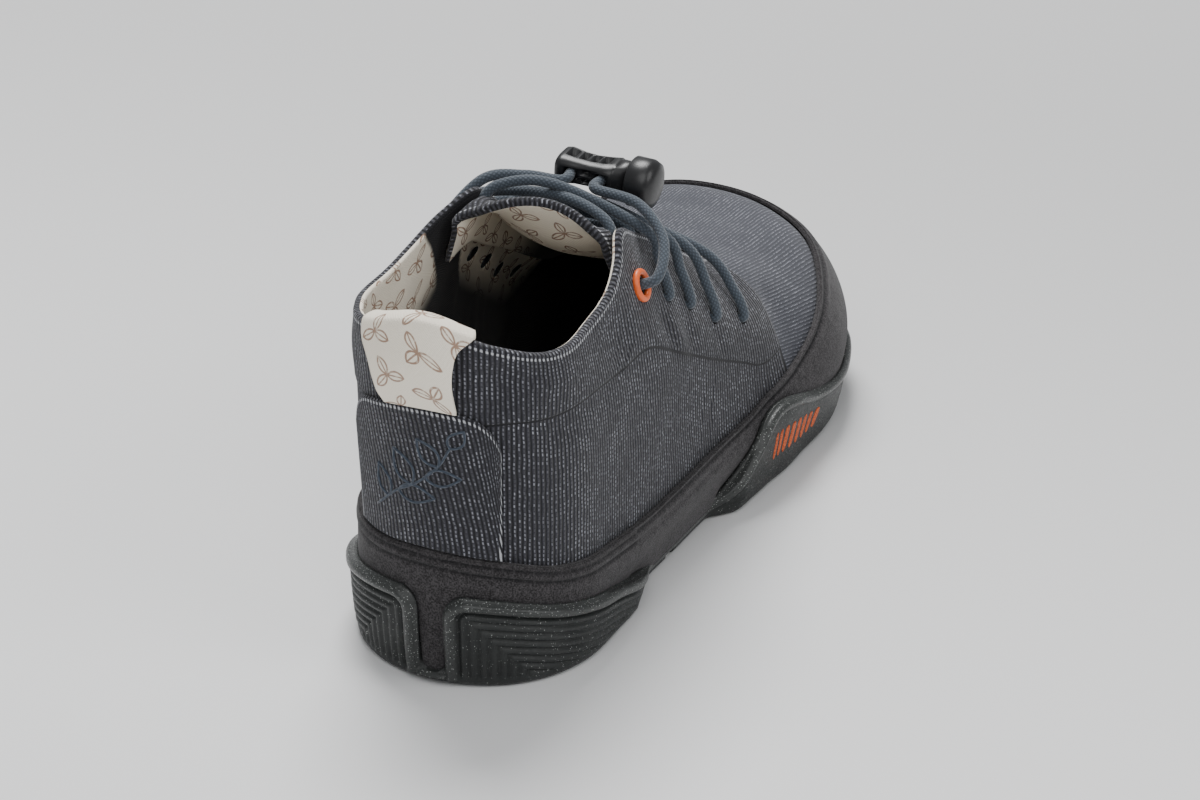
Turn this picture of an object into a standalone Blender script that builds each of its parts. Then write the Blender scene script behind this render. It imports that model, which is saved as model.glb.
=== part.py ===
"""Right barefoot shoe, at rest and empty. Metres, +Z up, +Y to the toe, +X to the outer side.

The tables are in millimetres. The upper is one function of two numbers: u counts the rows of SECTIONS
round the shoe, and v runs from 0 at the sole's edge to 4 at the collar and throat. Every layer that
lies on the upper is that function moved out along its normal.
"""

import math

import bmesh
import bpy
import numpy as np

MM = 0.001

# Driving dimensions, in millimetres
FEATHER_Z = 4.5
WALL_Z = 14.0
SPRING_START_Y = 118.0
SPRING_END_Y = 186.5
TOE_SPRING = 6.0
ARCH_LIFT = 1.6
ARCH_Y = 74.0
ARCH_HALF = 27.0
WALL = 1.8
RAND_GAP = 0.4
RAND_THICK = 1.1
PATCH_THICK = 0.9
CUP_GAP = 2.35
CUP_THICK = 2.2
SOLE_THICK = 4.1
INSOLE_THICK = 3.0
TONGUE_THICK = 2.4
TONGUE_LIFT = -2.5
LACE_RADIUS = 1.2
EYELET_HOLE = 2.0
NOTCH_HALF = 3.0
NOTCH_SHIFT = 0.6
NOTCH_FLOOR = 2.2
NOTCH_BACK = 5.6
TUCK_GAP = 1.5
TUCK_V = (0.08, 0.26)
RIM_LEAST = 0.08

# Middle of the footprint in the tables' own frame: the origin of the shoe
MIDDLE_X = 0.82
MIDDLE_Y = 94.41

# Materials
MATERIALS = (
    # name, colour, roughness, metallic, pieces
    ("woven_fabric", (0.105, 0.113, 0.125), 0.92, 0.0, ("upper", "tongue", "heel_patch")),
    ("microfibre", (0.062, 0.060, 0.058), 0.85, 0.0, ("rand",)),
    ("sole_rubber", (0.045, 0.050, 0.047), 0.6, 0.0, ("outsole",)),
    ("insole_cloth", (0.11, 0.10, 0.09), 0.95, 0.0, ("insole",)),
    ("cotton_tape", (0.70, 0.63, 0.51), 0.9, 0.0, ("pull_loop",)),
    ("lace_cord", (0.11, 0.13, 0.15), 0.8, 0.0, ("lace_cross", "lace_end")),
    ("lock_plastic", (0.012, 0.012, 0.013), 0.35, 0.0, ("toggle",)),
    ("eyelet_enamel", (0.74, 0.20, 0.05), 0.4, 0.0, ("eyelet",)),
)

# One row for each ray section, from the back of the heel round by the outer side.
# Axis point and turn place the ray; each r is along it, and each z is above the sole line.
SECTIONS = (
    # name, axis_y, turn, feather_r, wall_r, rand_r, rand_z, shoulder_r, shoulder_z, edge_r, edge_z, rim_z
    ("heel_back", 30, -90, 22.4, 25.4, 25.7, 32, 26.8, 60, 27.6, 85.3, 22.4),
    ("heel_lat_60", 30, -58, 22.8, 26.0, 26.2, 30, 26.4, 58, 26.4, 80.0, 21.2),
    ("heel_lat_30", 30, -28, 23.0, 26.4, 26.5, 26, 26.2, 54, 24.2, 75.4, 17.4),
    ("lat_ankle", 32, 0, 23.4, 26.8, 26.8, 23, 26.4, 52, 23.2, 74.5, 13.6),
    ("lat_collar", 46, 0, 24.2, 27.8, 27.7, 21, 27.0, 52, 23.2, 76.0, 9.2),
    ("lat_rise", 56, 0, 24.9, 28.6, 28.4, 20, 27.4, 54, 21.4, 79.6, 6.4),
    ("lat_corner", 63, 0, 25.4, 29.2, 29.0, 20, 27.8, 55, 19.0, 83.5, 5.2),
    ("lat_eyestay", 73, 0, 26.3, 30.2, 29.9, 20, 28.2, 53, 17.9, 78.4, 4.9),
    ("lat_instep", 89, 0, 27.6, 31.6, 31.0, 20, 28.8, 48, 18.4, 69.0, 5.0),
    ("lat_ball", 105, 0, 29.6, 33.6, 32.8, 20.5, 29.6, 43, 18.8, 58.6, 15.6),
    ("lat_joint", 116, 0, 31.2, 35.2, 34.2, 22, 30.2, 40, 17.6, 53.0, 19.2),
    ("lat_toe_20", 118, 20, 34.4, 39.0, 37.6, 24, 28.2, 42.5, 16.0, 50.5, 15.6),
    ("lat_toe_45", 118, 45, 45.6, 51.0, 46.5, 29, 30.0, 43, 13.4, 49.5, 11.0),
    ("lat_toe_62", 118, 62, 55.5, 61.5, 53.5, 33, 33.0, 43.5, 11.2, 49.0, 9.0),
    ("toe_76", 118, 76, 59.8, 66.2, 56.5, 35, 34.5, 43.5, 9.8, 49.0, 8.6),
    ("toe_tip", 118, 90, 61.4, 68.4, 58.5, 35.5, 35.5, 43.5, 9.0, 49.0, 8.8),
    ("toe_104", 118, 104, 61.4, 68.4, 58.5, 35.5, 35.5, 43.5, 9.4, 49.0, 8.8),
    ("med_toe_118", 118, 118, 56.5, 62.5, 54.0, 35, 33.5, 43.5, 10.8, 49.0, 9.4),
    ("med_toe_135", 118, 135, 44.0, 49.5, 44.0, 33, 29.5, 43.5, 13.0, 49.5, 10.5),
    ("med_toe_160", 118, 160, 33.0, 37.4, 35.4, 31, 27.0, 43.5, 15.2, 50.5, 12.5),
    ("med_joint", 116, 180, 29.2, 33.2, 32.3, 29, 28.6, 42, 16.6, 53.0, 12.5),
    ("med_ball", 105, 180, 26.4, 30.4, 30.0, 28, 27.6, 46, 17.8, 59.0, 9.0),
    ("med_instep", 89, 180, 23.6, 27.4, 27.4, 28, 26.4, 51, 17.6, 70.0, 5.0),
    ("med_eyestay", 73, 180, 22.6, 26.4, 26.6, 28, 26.2, 56, 16.6, 80.6, 4.9),
    ("med_corner", 64, 180, 22.4, 26.2, 26.4, 28, 26.2, 58, 15.8, 87.0, 5.2),
    ("med_rise", 56, 180, 22.4, 26.2, 26.4, 28, 26.4, 56, 20.6, 83.4, 6.4),
    ("med_collar", 46, 180, 22.6, 26.2, 26.4, 28, 26.6, 54, 23.6, 79.4, 9.8),
    ("med_ankle", 32, 180, 22.4, 25.4, 25.5, 29, 26.0, 53, 25.0, 77.6, 15.5),
    ("heel_med_30", 30, 208, 21.8, 24.3, 24.5, 30, 25.7, 55, 25.6, 79.0, 18.5),
    ("heel_med_60", 30, 238, 21.9, 24.6, 24.9, 31, 26.0, 58, 27.8, 81.6, 21.4),
)
ROW = {row[0]: index for index, row in enumerate(SECTIONS)}
COLUMN_NAMES = (
    "axis_y turn feather_r wall_r rand_r rand_z shoulder_r shoulder_z edge_r edge_z rim_z"
).split()
TABLE = {
    name: np.array([row[place + 1] for row in SECTIONS], float)
    for place, name in enumerate(COLUMN_NAMES)
}
ROWS = len(SECTIONS)

# Rows of the upper, the band and the insole
UPPER_V = (0.0, 0.5, 1.0, 1.5, 2.0, 2.3, 2.65, 3.0, 3.3, 3.6, 3.85, 4.0)
RAND_V = (0.25, 0.5, 1.0, 1.5, 2.0)
COLUMNS = 56

# Side of the sole: depth below the rim and how far the surface stands out there
RIM_STEPS = (
    # depth, stand_out
    (0.0, 0.0),
    (0.7, 0.55),
    (2.0, 0.55),
    (2.8, -0.5),
    (4.1, 0.15),
    (5.4, -0.45),
    (6.7, 0.1),
    (8.0, -0.45),
    (9.3, 0.1),
    (10.6, -0.4),
    (12.2, 0.1),
    (14.8, 0.0),
)
RIM_DEPTH = 15.6

# Eyelets on each side, as the row name where v is measured and the y of the hole
EYELET_Y = (61.8, 75.5, 85.3, 96.0, 110.5)
EYELET_V = (3.56, 3.42, 3.33, 3.16, 3.09)

# Groove under the sole, from the toe back to the outer waist
GROOVE_PATH = ((-10, 164), (-13, 146), (-14, 126), (-11, 108), (-3, 94), (9, 83), (22, 74), (36, 66))
GROOVE_HALF = 1.7
GROOVE_DEPTH = 2.0

# Cord lock, placed by its centre; its axis runs across the shoe with the button to the outer side
TOGGLE_AT = (4.2, 86.3, 84.4)
TOGGLE_TURN = (0.0, 3.0, -2.0)
BODY_RINGS = (
    # along, half_deep, half_high, squareness
    (-9.0, 3.4, 2.4, 3.2),
    (-8.5, 4.3, 3.2, 3.4),
    (-7.3, 4.5, 3.4, 3.4),
    (-4.2, 4.0, 3.0, 3.4),
    (-1.2, 3.9, 2.9, 3.4),
    (2.0, 4.2, 3.2, 3.4),
    (4.5, 4.6, 3.6, 3.2),
    (5.0, 4.4, 3.5, 2.8),
    (5.2, 4.1, 4.1, 2.0),
    (9.2, 4.1, 4.1, 2.0),
)
PLUNGER_PROFILE = (
    # along, radius
    (2.2, 0.0),
    (2.2, 1.5),
    (13.0, 1.5),
    (13.0, 4.7),
    (8.2, 4.7),
    (8.2, 5.2),
    (8.6, 5.6),
    (12.4, 5.6),
    (13.8, 5.0),
    (14.5, 3.2),
    (14.7, 0.0),
)
STEM_BORE = 2.0
LACE_HOLES = (-5.0, 2.4)
LACE_HOLE_RADIUS = 1.6
CORD_POINTS = 16

# Tongue, from its front under the vamp to its top: where its crown lies
TONGUE_CROWN = (
    # outer_u, inner_u, outer_inset, inner_inset, x, y, z
    ("lat_toe_45", "med_toe_135", 0.0, 0.0, 0.0, 131.0, 44.6),
    ("lat_toe_20", "med_toe_160", 0.0, 0.0, 0.0, 123.0, 48.2),
    (116.0, 116.0, 0.0, 0.0, 0.2, 116.0, 52.4),
    (104.0, 104.0, 0.0, 0.0, 0.4, 104.0, 57.6),
    (92.0, 92.0, 0.0, 0.0, 0.5, 92.0, 63.2),
    (82.0, 82.0, 0.0, 0.0, 0.7, 82.0, 68.2),
    (74.0, 74.0, 0.0, 0.0, 1.0, 74.0, 72.6),
    (67.5, 67.0, 0.1, 0.2, 1.4, 67.5, 78.0),
    (63.5, 61.5, 0.3, 0.6, 1.8, 63.0, 84.6),
    (60.5, 57.5, 0.6, 1.0, 2.0, 60.4, 89.0),
)

# Crown of the lace crossings, which pull straight between the edges of the throat
LACE_CROWN = (
    # y, z
    (56.0, 90.0),
    (66.0, 86.0),
    (75.0, 80.4),
    (85.0, 73.8),
    (95.0, 67.2),
    (105.0, 60.8),
    (116.0, 54.0),
)

# Pull loop, from inside the collar over its edge and down the heel
LOOP_ROWS = (
    # v, near_lift, near_rise, far_lift, far_rise, first_u, last_u
    (3.76, -2.4, 0.0, -3.5, 0.0, -0.90, 0.66),
    (3.94, -2.4, 0.0, -3.5, 0.0, -0.94, 0.70),
    (4.00, -2.3, 0.5, -3.4, 0.9, -0.96, 0.72),
    (4.00, -1.4, 0.8, -2.0, 1.8, -0.96, 0.72),
    (4.00, -0.2, 0.8, 0.3, 1.8, -0.95, 0.71),
    (4.00, 0.7, 0.4, 1.7, 0.9, -0.93, 0.66),
    (3.88, 1.6, 0.0, 2.7, 0.2, -0.88, 0.48),
    (3.72, 2.9, 0.0, 4.0, 0.0, -0.71, 0.42),
    (3.55, 3.3, 0.0, 4.4, 0.0, -0.63, 0.41),
    (3.40, 2.6, 0.0, 3.7, 0.0, -0.61, 0.43),
    (3.30, 1.4, 0.0, 2.5, 0.0, -0.61, 0.44),
    (3.24, 0.5, 0.0, 1.6, 0.0, -0.62, 0.44),
)

# Heel patch: where it ends on each side and its top, lower at its rounded corners
PATCH_SIDES = (-1.6, 1.05)
PATCH_LOW = 2.025
PATCH_TOP = 3.22
PATCH_DROP = 0.30
PATCH_SQUARE = 7


# Form of the upper
def blend(values, u, lap=0.0):
    """A smooth closed curve through the rows; lap is what one turn round the shoe adds."""
    start = np.floor(u).astype(int)
    part = u - start

    def at(row):
        return values[row % ROWS] + lap * np.floor_divide(row, ROWS)

    before, first, second, after = at(start - 1), at(start), at(start + 1), at(start + 2)
    bend = 2 * before - 5 * first + 4 * second - after
    twist = 3 * first - before - 3 * second + after
    return first + 0.5 * (second - before) * part + 0.5 * bend * part**2 + 0.5 * twist * part**3


def through(points, v):
    """A smooth open curve through five profile points, at v from 0 to 4."""
    inner = np.stack(points, 0)
    first = 2 * inner[0] - inner[1]
    last = 2 * inner[-1] - inner[-2]
    full = np.concatenate([first[None], inner, last[None]], 0)
    start = np.clip(np.floor(v).astype(int), 0, len(points) - 2)
    part = v - start
    every = np.arange(full.shape[1])
    a, b, c, d = (full[start + step, every] for step in range(4))
    return b + 0.5 * (c - a) * part + 0.5 * (2 * a - 5 * b + 4 * c - d) * part**2 + 0.5 * (
        3 * b - a - 3 * c + d
    ) * part**3


def spring(y):
    share = np.clip((y - SPRING_START_Y) / (SPRING_END_Y - SPRING_START_Y), 0.0, None)
    return TOE_SPRING * share**2


def skin(u, v):
    """Points on the outside of the upper, one row for each pair of u and v."""
    u, v = np.broadcast_arrays(np.asarray(u, float), np.asarray(v, float))
    shape = u.shape
    u = u.ravel()
    v = v.ravel()
    row = {name: blend(TABLE[name], u, 360.0 if name == "turn" else 0.0) for name in TABLE}
    level = np.ones_like(u)
    radius = through([row["feather_r"], row["wall_r"], row["rand_r"], row["shoulder_r"], row["edge_r"]], v)
    height = through([FEATHER_Z * level, WALL_Z * level, row["rand_z"], row["shoulder_z"], row["edge_z"]], v)
    turn = np.radians(row["turn"])
    x = radius * np.cos(turn)
    y = row["axis_y"] + radius * np.sin(turn)
    return np.stack([x, y, height + spring(y)], -1).reshape(shape + (3,))


def normal(u, v):
    u, v = np.broadcast_arrays(np.asarray(u, float), np.asarray(v, float))
    low = np.clip(v - 0.02, 0.0, 4.0)
    high = np.clip(v + 0.02, 0.0, 4.0)
    along = skin(u + 0.02, v) - skin(u - 0.02, v)
    up = skin(u, high) - skin(u, low)
    out = np.cross(along, up)
    return out / np.linalg.norm(out, axis=-1, keepdims=True)


def lifted(u, v, lift):
    lift = np.asarray(lift, float)
    if lift.ndim:
        lift = lift[..., None]
    return skin(u, v) + lift * normal(u, v)


def even_columns(count):
    """Values of u that are evenly spaced along the wall, starting at the back of the heel."""
    fine = np.linspace(0.0, ROWS, 3001)
    step = np.linalg.norm(np.diff(skin(fine, 1.5), axis=0), axis=1)
    travelled = np.concatenate([[0.0], np.cumsum(step)])
    wanted = np.linspace(0.0, travelled[-1], count, endpoint=False)
    return np.interp(wanted, travelled, fine)


def wall_length(u):
    """Distance along the wall from the middle of the heel notch, positive to the outer side."""
    fine = np.linspace(-ROWS / 2, ROWS / 2, 3001)
    step = np.linalg.norm(np.diff(skin(fine, 1.2), axis=0), axis=1)
    travelled = np.concatenate([[0.0], np.cumsum(step)])
    travelled -= np.interp(0.0, fine, travelled) + NOTCH_SHIFT
    wrapped = (np.asarray(u) + ROWS / 2) % ROWS - ROWS / 2
    return np.interp(wrapped, fine, travelled)


def u_at_y(side, y):
    """The u of the straight rows on one side, where the ray sits at this y."""
    first, last = ("lat_ankle", "lat_joint") if side > 0 else ("med_joint", "med_ankle")
    rows = np.linspace(ROW[first], ROW[last], 400)
    places = blend(TABLE["axis_y"], rows)
    order = np.argsort(places)
    return float(np.interp(y, places[order], rows[order]))


def v_at_height(u, z):
    """The v below the band's edge at which the skin reaches this height, column by column."""
    fine = np.linspace(0.0, 2.0, 81)
    found = []
    for place, height in zip(u, z):
        found.append(np.interp(height, skin(np.full(81, place), fine)[:, 2], fine))
    return np.array(found)


# Meshes
def place(name, data, holder):
    """An object of the scene, hung on one of the empties."""
    made = bpy.data.objects.new(name, data)
    bpy.context.scene.collection.objects.link(made)
    made.parent = bpy.data.objects[holder]
    return made


def place_mesh(name, points, faces, holder="shoe"):
    mesh = bpy.data.meshes.new(name)
    mesh.from_pydata([tuple(point * MM) for point in np.asarray(points, float)], [], faces)
    mesh.update()
    mesh.shade_smooth()
    mesh.set_sharp_from_angle(angle=math.radians(40.0))
    return place(name, mesh, holder)


def helper(made):
    made.hide_render = True
    made.display_type = "WIRE"
    return made


def band_faces(rings, columns, closed_rings):
    faces = []
    last = rings if closed_rings else rings - 1
    for ring in range(last):
        low = ring * columns
        high = (ring + 1) % rings * columns
        for column in range(columns):
            beside = (column + 1) % columns
            faces.append((low + column, low + beside, high + beside, high + column))
    return faces


def shell_ring(name, u, levels, inner, outer):
    """A closed band round the shoe between two lifts over the same v values."""
    rings = [lifted(u, np.full_like(u, level), outer) for level in levels]
    rings += [lifted(u, np.full_like(u, level), inner) for level in reversed(levels)]
    points = np.concatenate(rings)
    return place_mesh(name, points, band_faces(len(rings), len(u), True))


def slab(name, outer, inner):
    """A plate between two grids of points, rows by columns, with its four edges closed."""
    rows, columns = outer.shape[:2]
    points = np.concatenate([outer.reshape(-1, 3), inner.reshape(-1, 3)])
    shift = rows * columns
    faces = []
    for row in range(rows - 1):
        for column in range(columns - 1):
            a = row * columns + column
            b, c, d = a + 1, a + columns + 1, a + columns
            faces.append((a, b, c, d))
            faces.append((a + shift, d + shift, c + shift, b + shift))
    edge = [column for column in range(columns)]
    edge += [row * columns + columns - 1 for row in range(1, rows)]
    edge += [(rows - 1) * columns + column for column in range(columns - 2, -1, -1)]
    edge += [row * columns for row in range(rows - 2, 0, -1)]
    for here, there in zip(edge, edge[1:] + edge[:1]):
        faces.append((there, here, here + shift, there + shift))
    return place_mesh(name, points, faces)


def ladder(ring, first, steps, height):
    """Rungs across a closed ring, from each column to its partner on the other side.

    Gives the added points and the faces, which look up; height gives z for each added point.
    """
    count = len(ring)
    half = count // 2
    points = []
    rungs = [[first]]
    number = first + count
    for rung in range(1, half):
        start = ring[rung]
        end = ring[count - rung]
        names = [first + rung]
        for step in range(1, steps):
            point = start + (end - start) * step / steps
            point[2] = height(point[0], point[1])
            points.append(point)
            names.append(number)
            number += 1
        names.append(first + count - rung)
        rungs.append(names)
    rungs.append([first + half])
    faces = []
    for low, high in zip(rungs, rungs[1:]):
        if len(low) == 1:
            faces += [(low[0], high[step], high[step + 1]) for step in range(steps)]
        elif len(high) == 1:
            faces += [(low[step], high[0], low[step + 1]) for step in range(steps)]
        else:
            faces += [(low[step], high[step], high[step + 1], low[step + 1]) for step in range(steps)]
    return points, faces


def swept(name, path, radius, sides=6, holder="shoe"):
    """A round cord along a path of points."""
    path = np.asarray(path, float)
    heading = np.gradient(path, axis=0)
    heading /= np.linalg.norm(heading, axis=1)[:, None]
    side = np.cross(heading[0], (0.0, 0.0, 1.0))
    rings = []
    for point, ahead in zip(path, heading):
        side = side - ahead * np.dot(side, ahead)
        side /= np.linalg.norm(side)
        over = np.cross(ahead, side)
        turns = np.linspace(0.0, 2 * math.pi, sides, endpoint=False)
        ring = [point + radius * (math.cos(turn) * side + math.sin(turn) * over) for turn in turns]
        rings.append(ring)
    points = np.concatenate(rings)
    faces = band_faces(len(path), sides, False)
    faces.append(tuple(range(sides - 1, -1, -1)))
    faces.append(tuple((len(path) - 1) * sides + corner for corner in range(sides)))
    return place_mesh(name, points, faces, holder)


def smooth_path(points, count):
    """A smooth open curve through a few points."""
    knots = np.asarray(points, float)
    full = np.concatenate([[2 * knots[0] - knots[1]], knots, [2 * knots[-1] - knots[-2]]])
    path = []
    for place in np.linspace(0.0, len(knots) - 1, count):
        start = min(int(place), len(knots) - 2)
        part = place - start
        a, b, c, d = full[start : start + 4]
        path.append(
            b
            + 0.5 * (c - a) * part
            + 0.5 * (2 * a - 5 * b + 4 * c - d) * part**2
            + 0.5 * (3 * b - a - 3 * c + d) * part**3
        )
    return np.array(path)


def cut(target, cutter, operation="DIFFERENCE"):
    helper(cutter)
    change = target.modifiers.new(operation.lower(), "BOOLEAN")
    change.operation = operation
    change.solver = "EXACT"
    change.object = cutter


def face_out(made):
    """Turns every face of a closed mesh to look outwards."""
    work = bmesh.new()
    work.from_mesh(made.data)
    bmesh.ops.recalc_face_normals(work, faces=work.faces)
    work.to_mesh(made.data)
    work.free()
    return made


# Pieces
def make_upper(u):
    upper = shell_ring("upper", u, UPPER_V, -WALL, 0.0)
    for side in (1, -1):
        for number in range(len(EYELET_Y)):
            point, out = eyelet(side, number)
            path = np.array([point - 5 * out, point + 5 * out])
            cutter = face_out(swept(f"hole_{number}_{side > 0}", path, EYELET_HOLE, 10))
            cut(upper, cutter)
    return upper


def eyelet(side, number):
    u = u_at_y(side, EYELET_Y[number])
    v = EYELET_V[number]
    return skin(u, v), normal(u, v)


def ground(x, y):
    """Height of the sole's underside: the toe spring, the arch and a small bevel at the heel."""
    along = max(1.0 - ((y - ARCH_Y) / ARCH_HALF) ** 2, 0.0)
    arch = ARCH_LIFT * along**2 * min(max((8.0 - x) / 24.0, 0.0), 1.0)
    bevel = 0.08 * max(8.0 - y, 0.0) ** 2 / 8.0
    return float(spring(np.array(y))) + arch + bevel


def cup_wall(u, v, lift, fullness):
    """Outside of the sole's wall: over the wall line it follows the upper, and below it stays steeper."""
    base = skin(u, v)
    out = normal(u, v)
    share = np.where(v < 1.0, fullness, 0.0)[:, None]
    flat_out = normal(u, 1.0) * np.array([1.0, 1.0, 0.0])
    flat_out /= np.linalg.norm(flat_out, axis=1)[:, None]
    base[:, :2] += share * (skin(u, 1.0)[:, :2] - base[:, :2])
    out = out * (1.0 - share) + flat_out * share
    out /= np.linalg.norm(out, axis=1)[:, None]
    return base + np.asarray(lift)[:, None] * out


def sole_columns(u):
    """The upper's columns, with closer ones beside the heel notch so that the ribs can turn down there."""
    depths = [step[0] for step in RIM_STEPS[1:8]]
    beside = NOTCH_HALF + np.array([-0.6, 0.0] + depths)
    fine = np.linspace(-3.0, 3.0, 1200)
    lateral = np.interp(beside, wall_length(fine), fine)
    medial = np.interp(-beside, wall_length(fine), fine)
    middle = np.interp(0.0, wall_length(fine), fine)
    kept = u[np.abs(wall_length(u)) > beside[-1] + 2.5]
    if len(kept) % 2 == 0:
        half = len(kept) // 2
        kept = np.insert(kept, half, 0.5 * (kept[half - 1] + kept[half]))
    return np.concatenate([[middle], lateral, kept, ROWS + medial[::-1]])


def make_sole(u):
    u = sole_columns(u)
    steps = np.array(RIM_STEPS)
    from_notch = np.clip(np.abs(wall_length(u)) - NOTCH_HALF, 0.0, None)
    rim_v = v_at_height(u, blend(TABLE["rim_z"], u) + spring(skin(u, 1.0)[:, 1]))
    rim_v = np.maximum(rim_v, RIM_LEAST)
    proud = np.clip(rim_v / 0.6, 0.3, 1.0)
    fullness = 0.75 * np.clip((rim_v - 0.12) / 0.35, 0.0, 1.0)
    nothing = np.zeros_like(u)
    tuck_from, tuck_to = TUCK_V
    cupped = np.clip((rim_v - tuck_from) / (tuck_to - tuck_from), 0.0, 1.0)
    gap = TUCK_GAP + (CUP_GAP - TUCK_GAP) * cupped
    full = gap + 0.6 + proud * (CUP_THICK - 1.15)
    low = cup_wall(u, nothing, full - 3.4, fullness)
    low[:, 2] = [ground(x, y) for x, y in low[:, :2]]
    round_edge = cup_wall(u, nothing, full - 0.9, fullness)
    round_edge[:, 2] = [ground(x, y) + 1.1 for x, y in round_edge[:, :2]]
    rings = [low, round_edge]
    for depth, _ in reversed(RIM_STEPS):
        level = rim_v * (1.0 - depth / RIM_DEPTH)
        shown = np.minimum(depth, from_notch)
        stand = np.interp(shown, steps[:, 0], steps[:, 1])
        rings.append(cup_wall(u, level, full + proud * stand, fullness))
    rings.append(lifted(u, rim_v, gap + 0.2))
    rings.append(lifted(u, rim_v * 0.94, gap))
    rings.append(lifted(u, rim_v * 0.5, gap))
    rings.append(lifted(u, rim_v * 0.04, gap))
    columns = len(u)
    points = list(np.concatenate(rings))
    faces = band_faces(len(rings), columns, False)
    more, under = ladder(rings[0], 0, 4, ground)
    renumber = len(points) - columns
    faces += [tuple(renumbered(corner, columns, renumber) for corner in reversed(face)) for face in under]
    points += more
    top = (len(rings) - 1) * columns
    shift = len(points) - top - columns
    more, over = ladder(rings[-1], top, 4, lambda x, y: SOLE_THICK + float(spring(np.array(y))))
    faces += [tuple(renumbered(corner, top + columns, shift) for corner in face) for face in over]
    points += more
    sole = place_mesh("outsole", points, faces)
    cut(sole, notch_cutter())
    cut(sole, groove_cutter())
    return sole


def renumbered(corner, limit, shift):
    return corner if corner < limit else corner + shift


def notch_cutter():
    """A round-bottomed slot through the back wall of the heel cup."""
    outline = [(NOTCH_SHIFT - NOTCH_HALF, 40.0)]
    for step in range(9):
        turn = math.pi + math.pi * step / 8
        x = NOTCH_SHIFT + NOTCH_HALF * math.cos(turn)
        outline.append((x, NOTCH_FLOOR + 2.2 + 2.2 * math.sin(turn)))
    outline.append((NOTCH_SHIFT + NOTCH_HALF, 40.0))
    points = [(x, -12.0, z) for x, z in outline] + [(x, NOTCH_BACK, z) for x, z in outline]
    count = len(outline)
    faces = [tuple(range(count)), tuple(range(2 * count - 1, count - 1, -1))]
    for here in range(count):
        there = (here + 1) % count
        faces.append((here, here + count, there + count, there))
    return face_out(place_mesh("notch_cutter", points, faces))


def groove_cutter():
    path = smooth_path([(x, y, 0.0) for x, y in GROOVE_PATH], 36)
    heading = np.gradient(path[:, :2], axis=0)
    heading /= np.linalg.norm(heading, axis=1)[:, None]
    across = np.stack([heading[:, 1], -heading[:, 0], np.zeros(len(path))], 1)
    top = np.array([ground(x, y) + GROOVE_DEPTH for x, y in path[:, :2]])
    outer = []
    inner = []
    for point, side, height in zip(path, across, top):
        left = point - GROOVE_HALF * side
        right = point + GROOVE_HALF * side
        outer.append([(left[0], left[1], height), (right[0], right[1], height)])
        inner.append([(left[0], left[1], -6.0), (right[0], right[1], -6.0)])
    return face_out(slab("groove_cutter", np.array(outer), np.array(inner)))


def make_insole(u):
    ring = lifted(u, 0.0, -(WALL + 0.55))
    under = ring.copy()
    under[:, 2] = SOLE_THICK + 0.35 + spring(under[:, 1])
    over = ring.copy()
    over[:, 2] = SOLE_THICK + 0.35 + INSOLE_THICK + spring(over[:, 1])
    columns = len(u)
    points = list(np.concatenate([under, over]))
    faces = band_faces(2, columns, False)
    more, low = ladder(under, 0, 3, lambda x, y: SOLE_THICK + 0.35 + float(spring(np.array(y))))
    shift = columns
    faces += [tuple(renumbered(corner, columns, shift) for corner in reversed(face)) for face in low]
    points += more
    shift = len(points) - 2 * columns

    def dished(x, y):
        return SOLE_THICK + 0.35 + INSOLE_THICK - 0.5 + float(spring(np.array(y)))

    more, high = ladder(over, columns, 3, dished)
    faces += [tuple(renumbered(corner, 2 * columns, shift) for corner in face) for face in high]
    points += more
    return place_mesh("insole", points, faces)


def make_heel_patch():
    share = np.sin(np.linspace(-0.5 * math.pi, 0.5 * math.pi, 13))
    up = np.linspace(0.0, 1.0, 7)
    first, last = PATCH_SIDES
    across = first + (last - first) * 0.5 * (1.0 + share)
    top = PATCH_TOP - PATCH_DROP * np.abs(share) ** PATCH_SQUARE
    u = np.broadcast_to(across, (len(up), len(across)))
    v = PATCH_LOW + np.outer(up, top - PATCH_LOW)
    return slab("heel_patch", lifted(u, v, RAND_GAP + PATCH_THICK), lifted(u, v, RAND_GAP))


def make_pull_loop():
    """A tape from inside the collar, over its edge and down to the heel patch, standing clear as a loop."""
    up = np.array([0.0, 0.0, 1.0])
    near = []
    far = []
    for v, near_lift, near_rise, far_lift, far_rise, first_u, last_u in LOOP_ROWS:
        u = np.linspace(first_u, last_u, 9)
        near.append(lifted(u, np.full_like(u, v), near_lift) + near_rise * up)
        far.append(lifted(u, np.full_like(u, v), far_lift) + far_rise * up)
    return face_out(slab("pull_loop", np.array(far), np.array(near)))


def lace_crown(y):
    rows = np.array(LACE_CROWN)
    return np.array([0.8, y, np.interp(y, rows[:, 0], rows[:, 1])])


def make_tongue():
    wing = np.array([3.58, 3.72, 3.86, 3.99])
    share = np.linspace(0.0, 1.0, 9)[1:-1, None]
    outer = []
    for lateral, medial, outer_inset, inner_inset, x, y, z in TONGUE_CROWN:
        first = ROW[lateral] if isinstance(lateral, str) else u_at_y(1, lateral)
        second = ROW[medial] if isinstance(medial, str) else u_at_y(-1, medial)
        left = lifted(np.full(4, first), wing, TONGUE_LIFT - outer_inset)
        right = lifted(np.full(4, second), wing, TONGUE_LIFT - inner_inset)
        middle = np.array([x, y, z])
        arch = left[-1] * (1 - share) * (1 - 2 * share) + right[-1] * share * (2 * share - 1)
        arch = arch + middle * 4 * share * (1 - share)
        outer.append(np.concatenate([left, arch, right[::-1]]))
    outer = np.array(outer)
    along = np.gradient(outer, axis=0)
    over = np.gradient(outer, axis=1)
    out = np.cross(along, over)
    out /= np.linalg.norm(out, axis=-1, keepdims=True)
    out *= np.sign(out[:, 7:8, 2:3])
    thick = TONGUE_THICK * (0.45 + 0.55 * np.sin(np.linspace(0.0, math.pi, outer.shape[1])))
    return face_out(slab("tongue", outer, outer - thick[None, :, None] * out))


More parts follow.
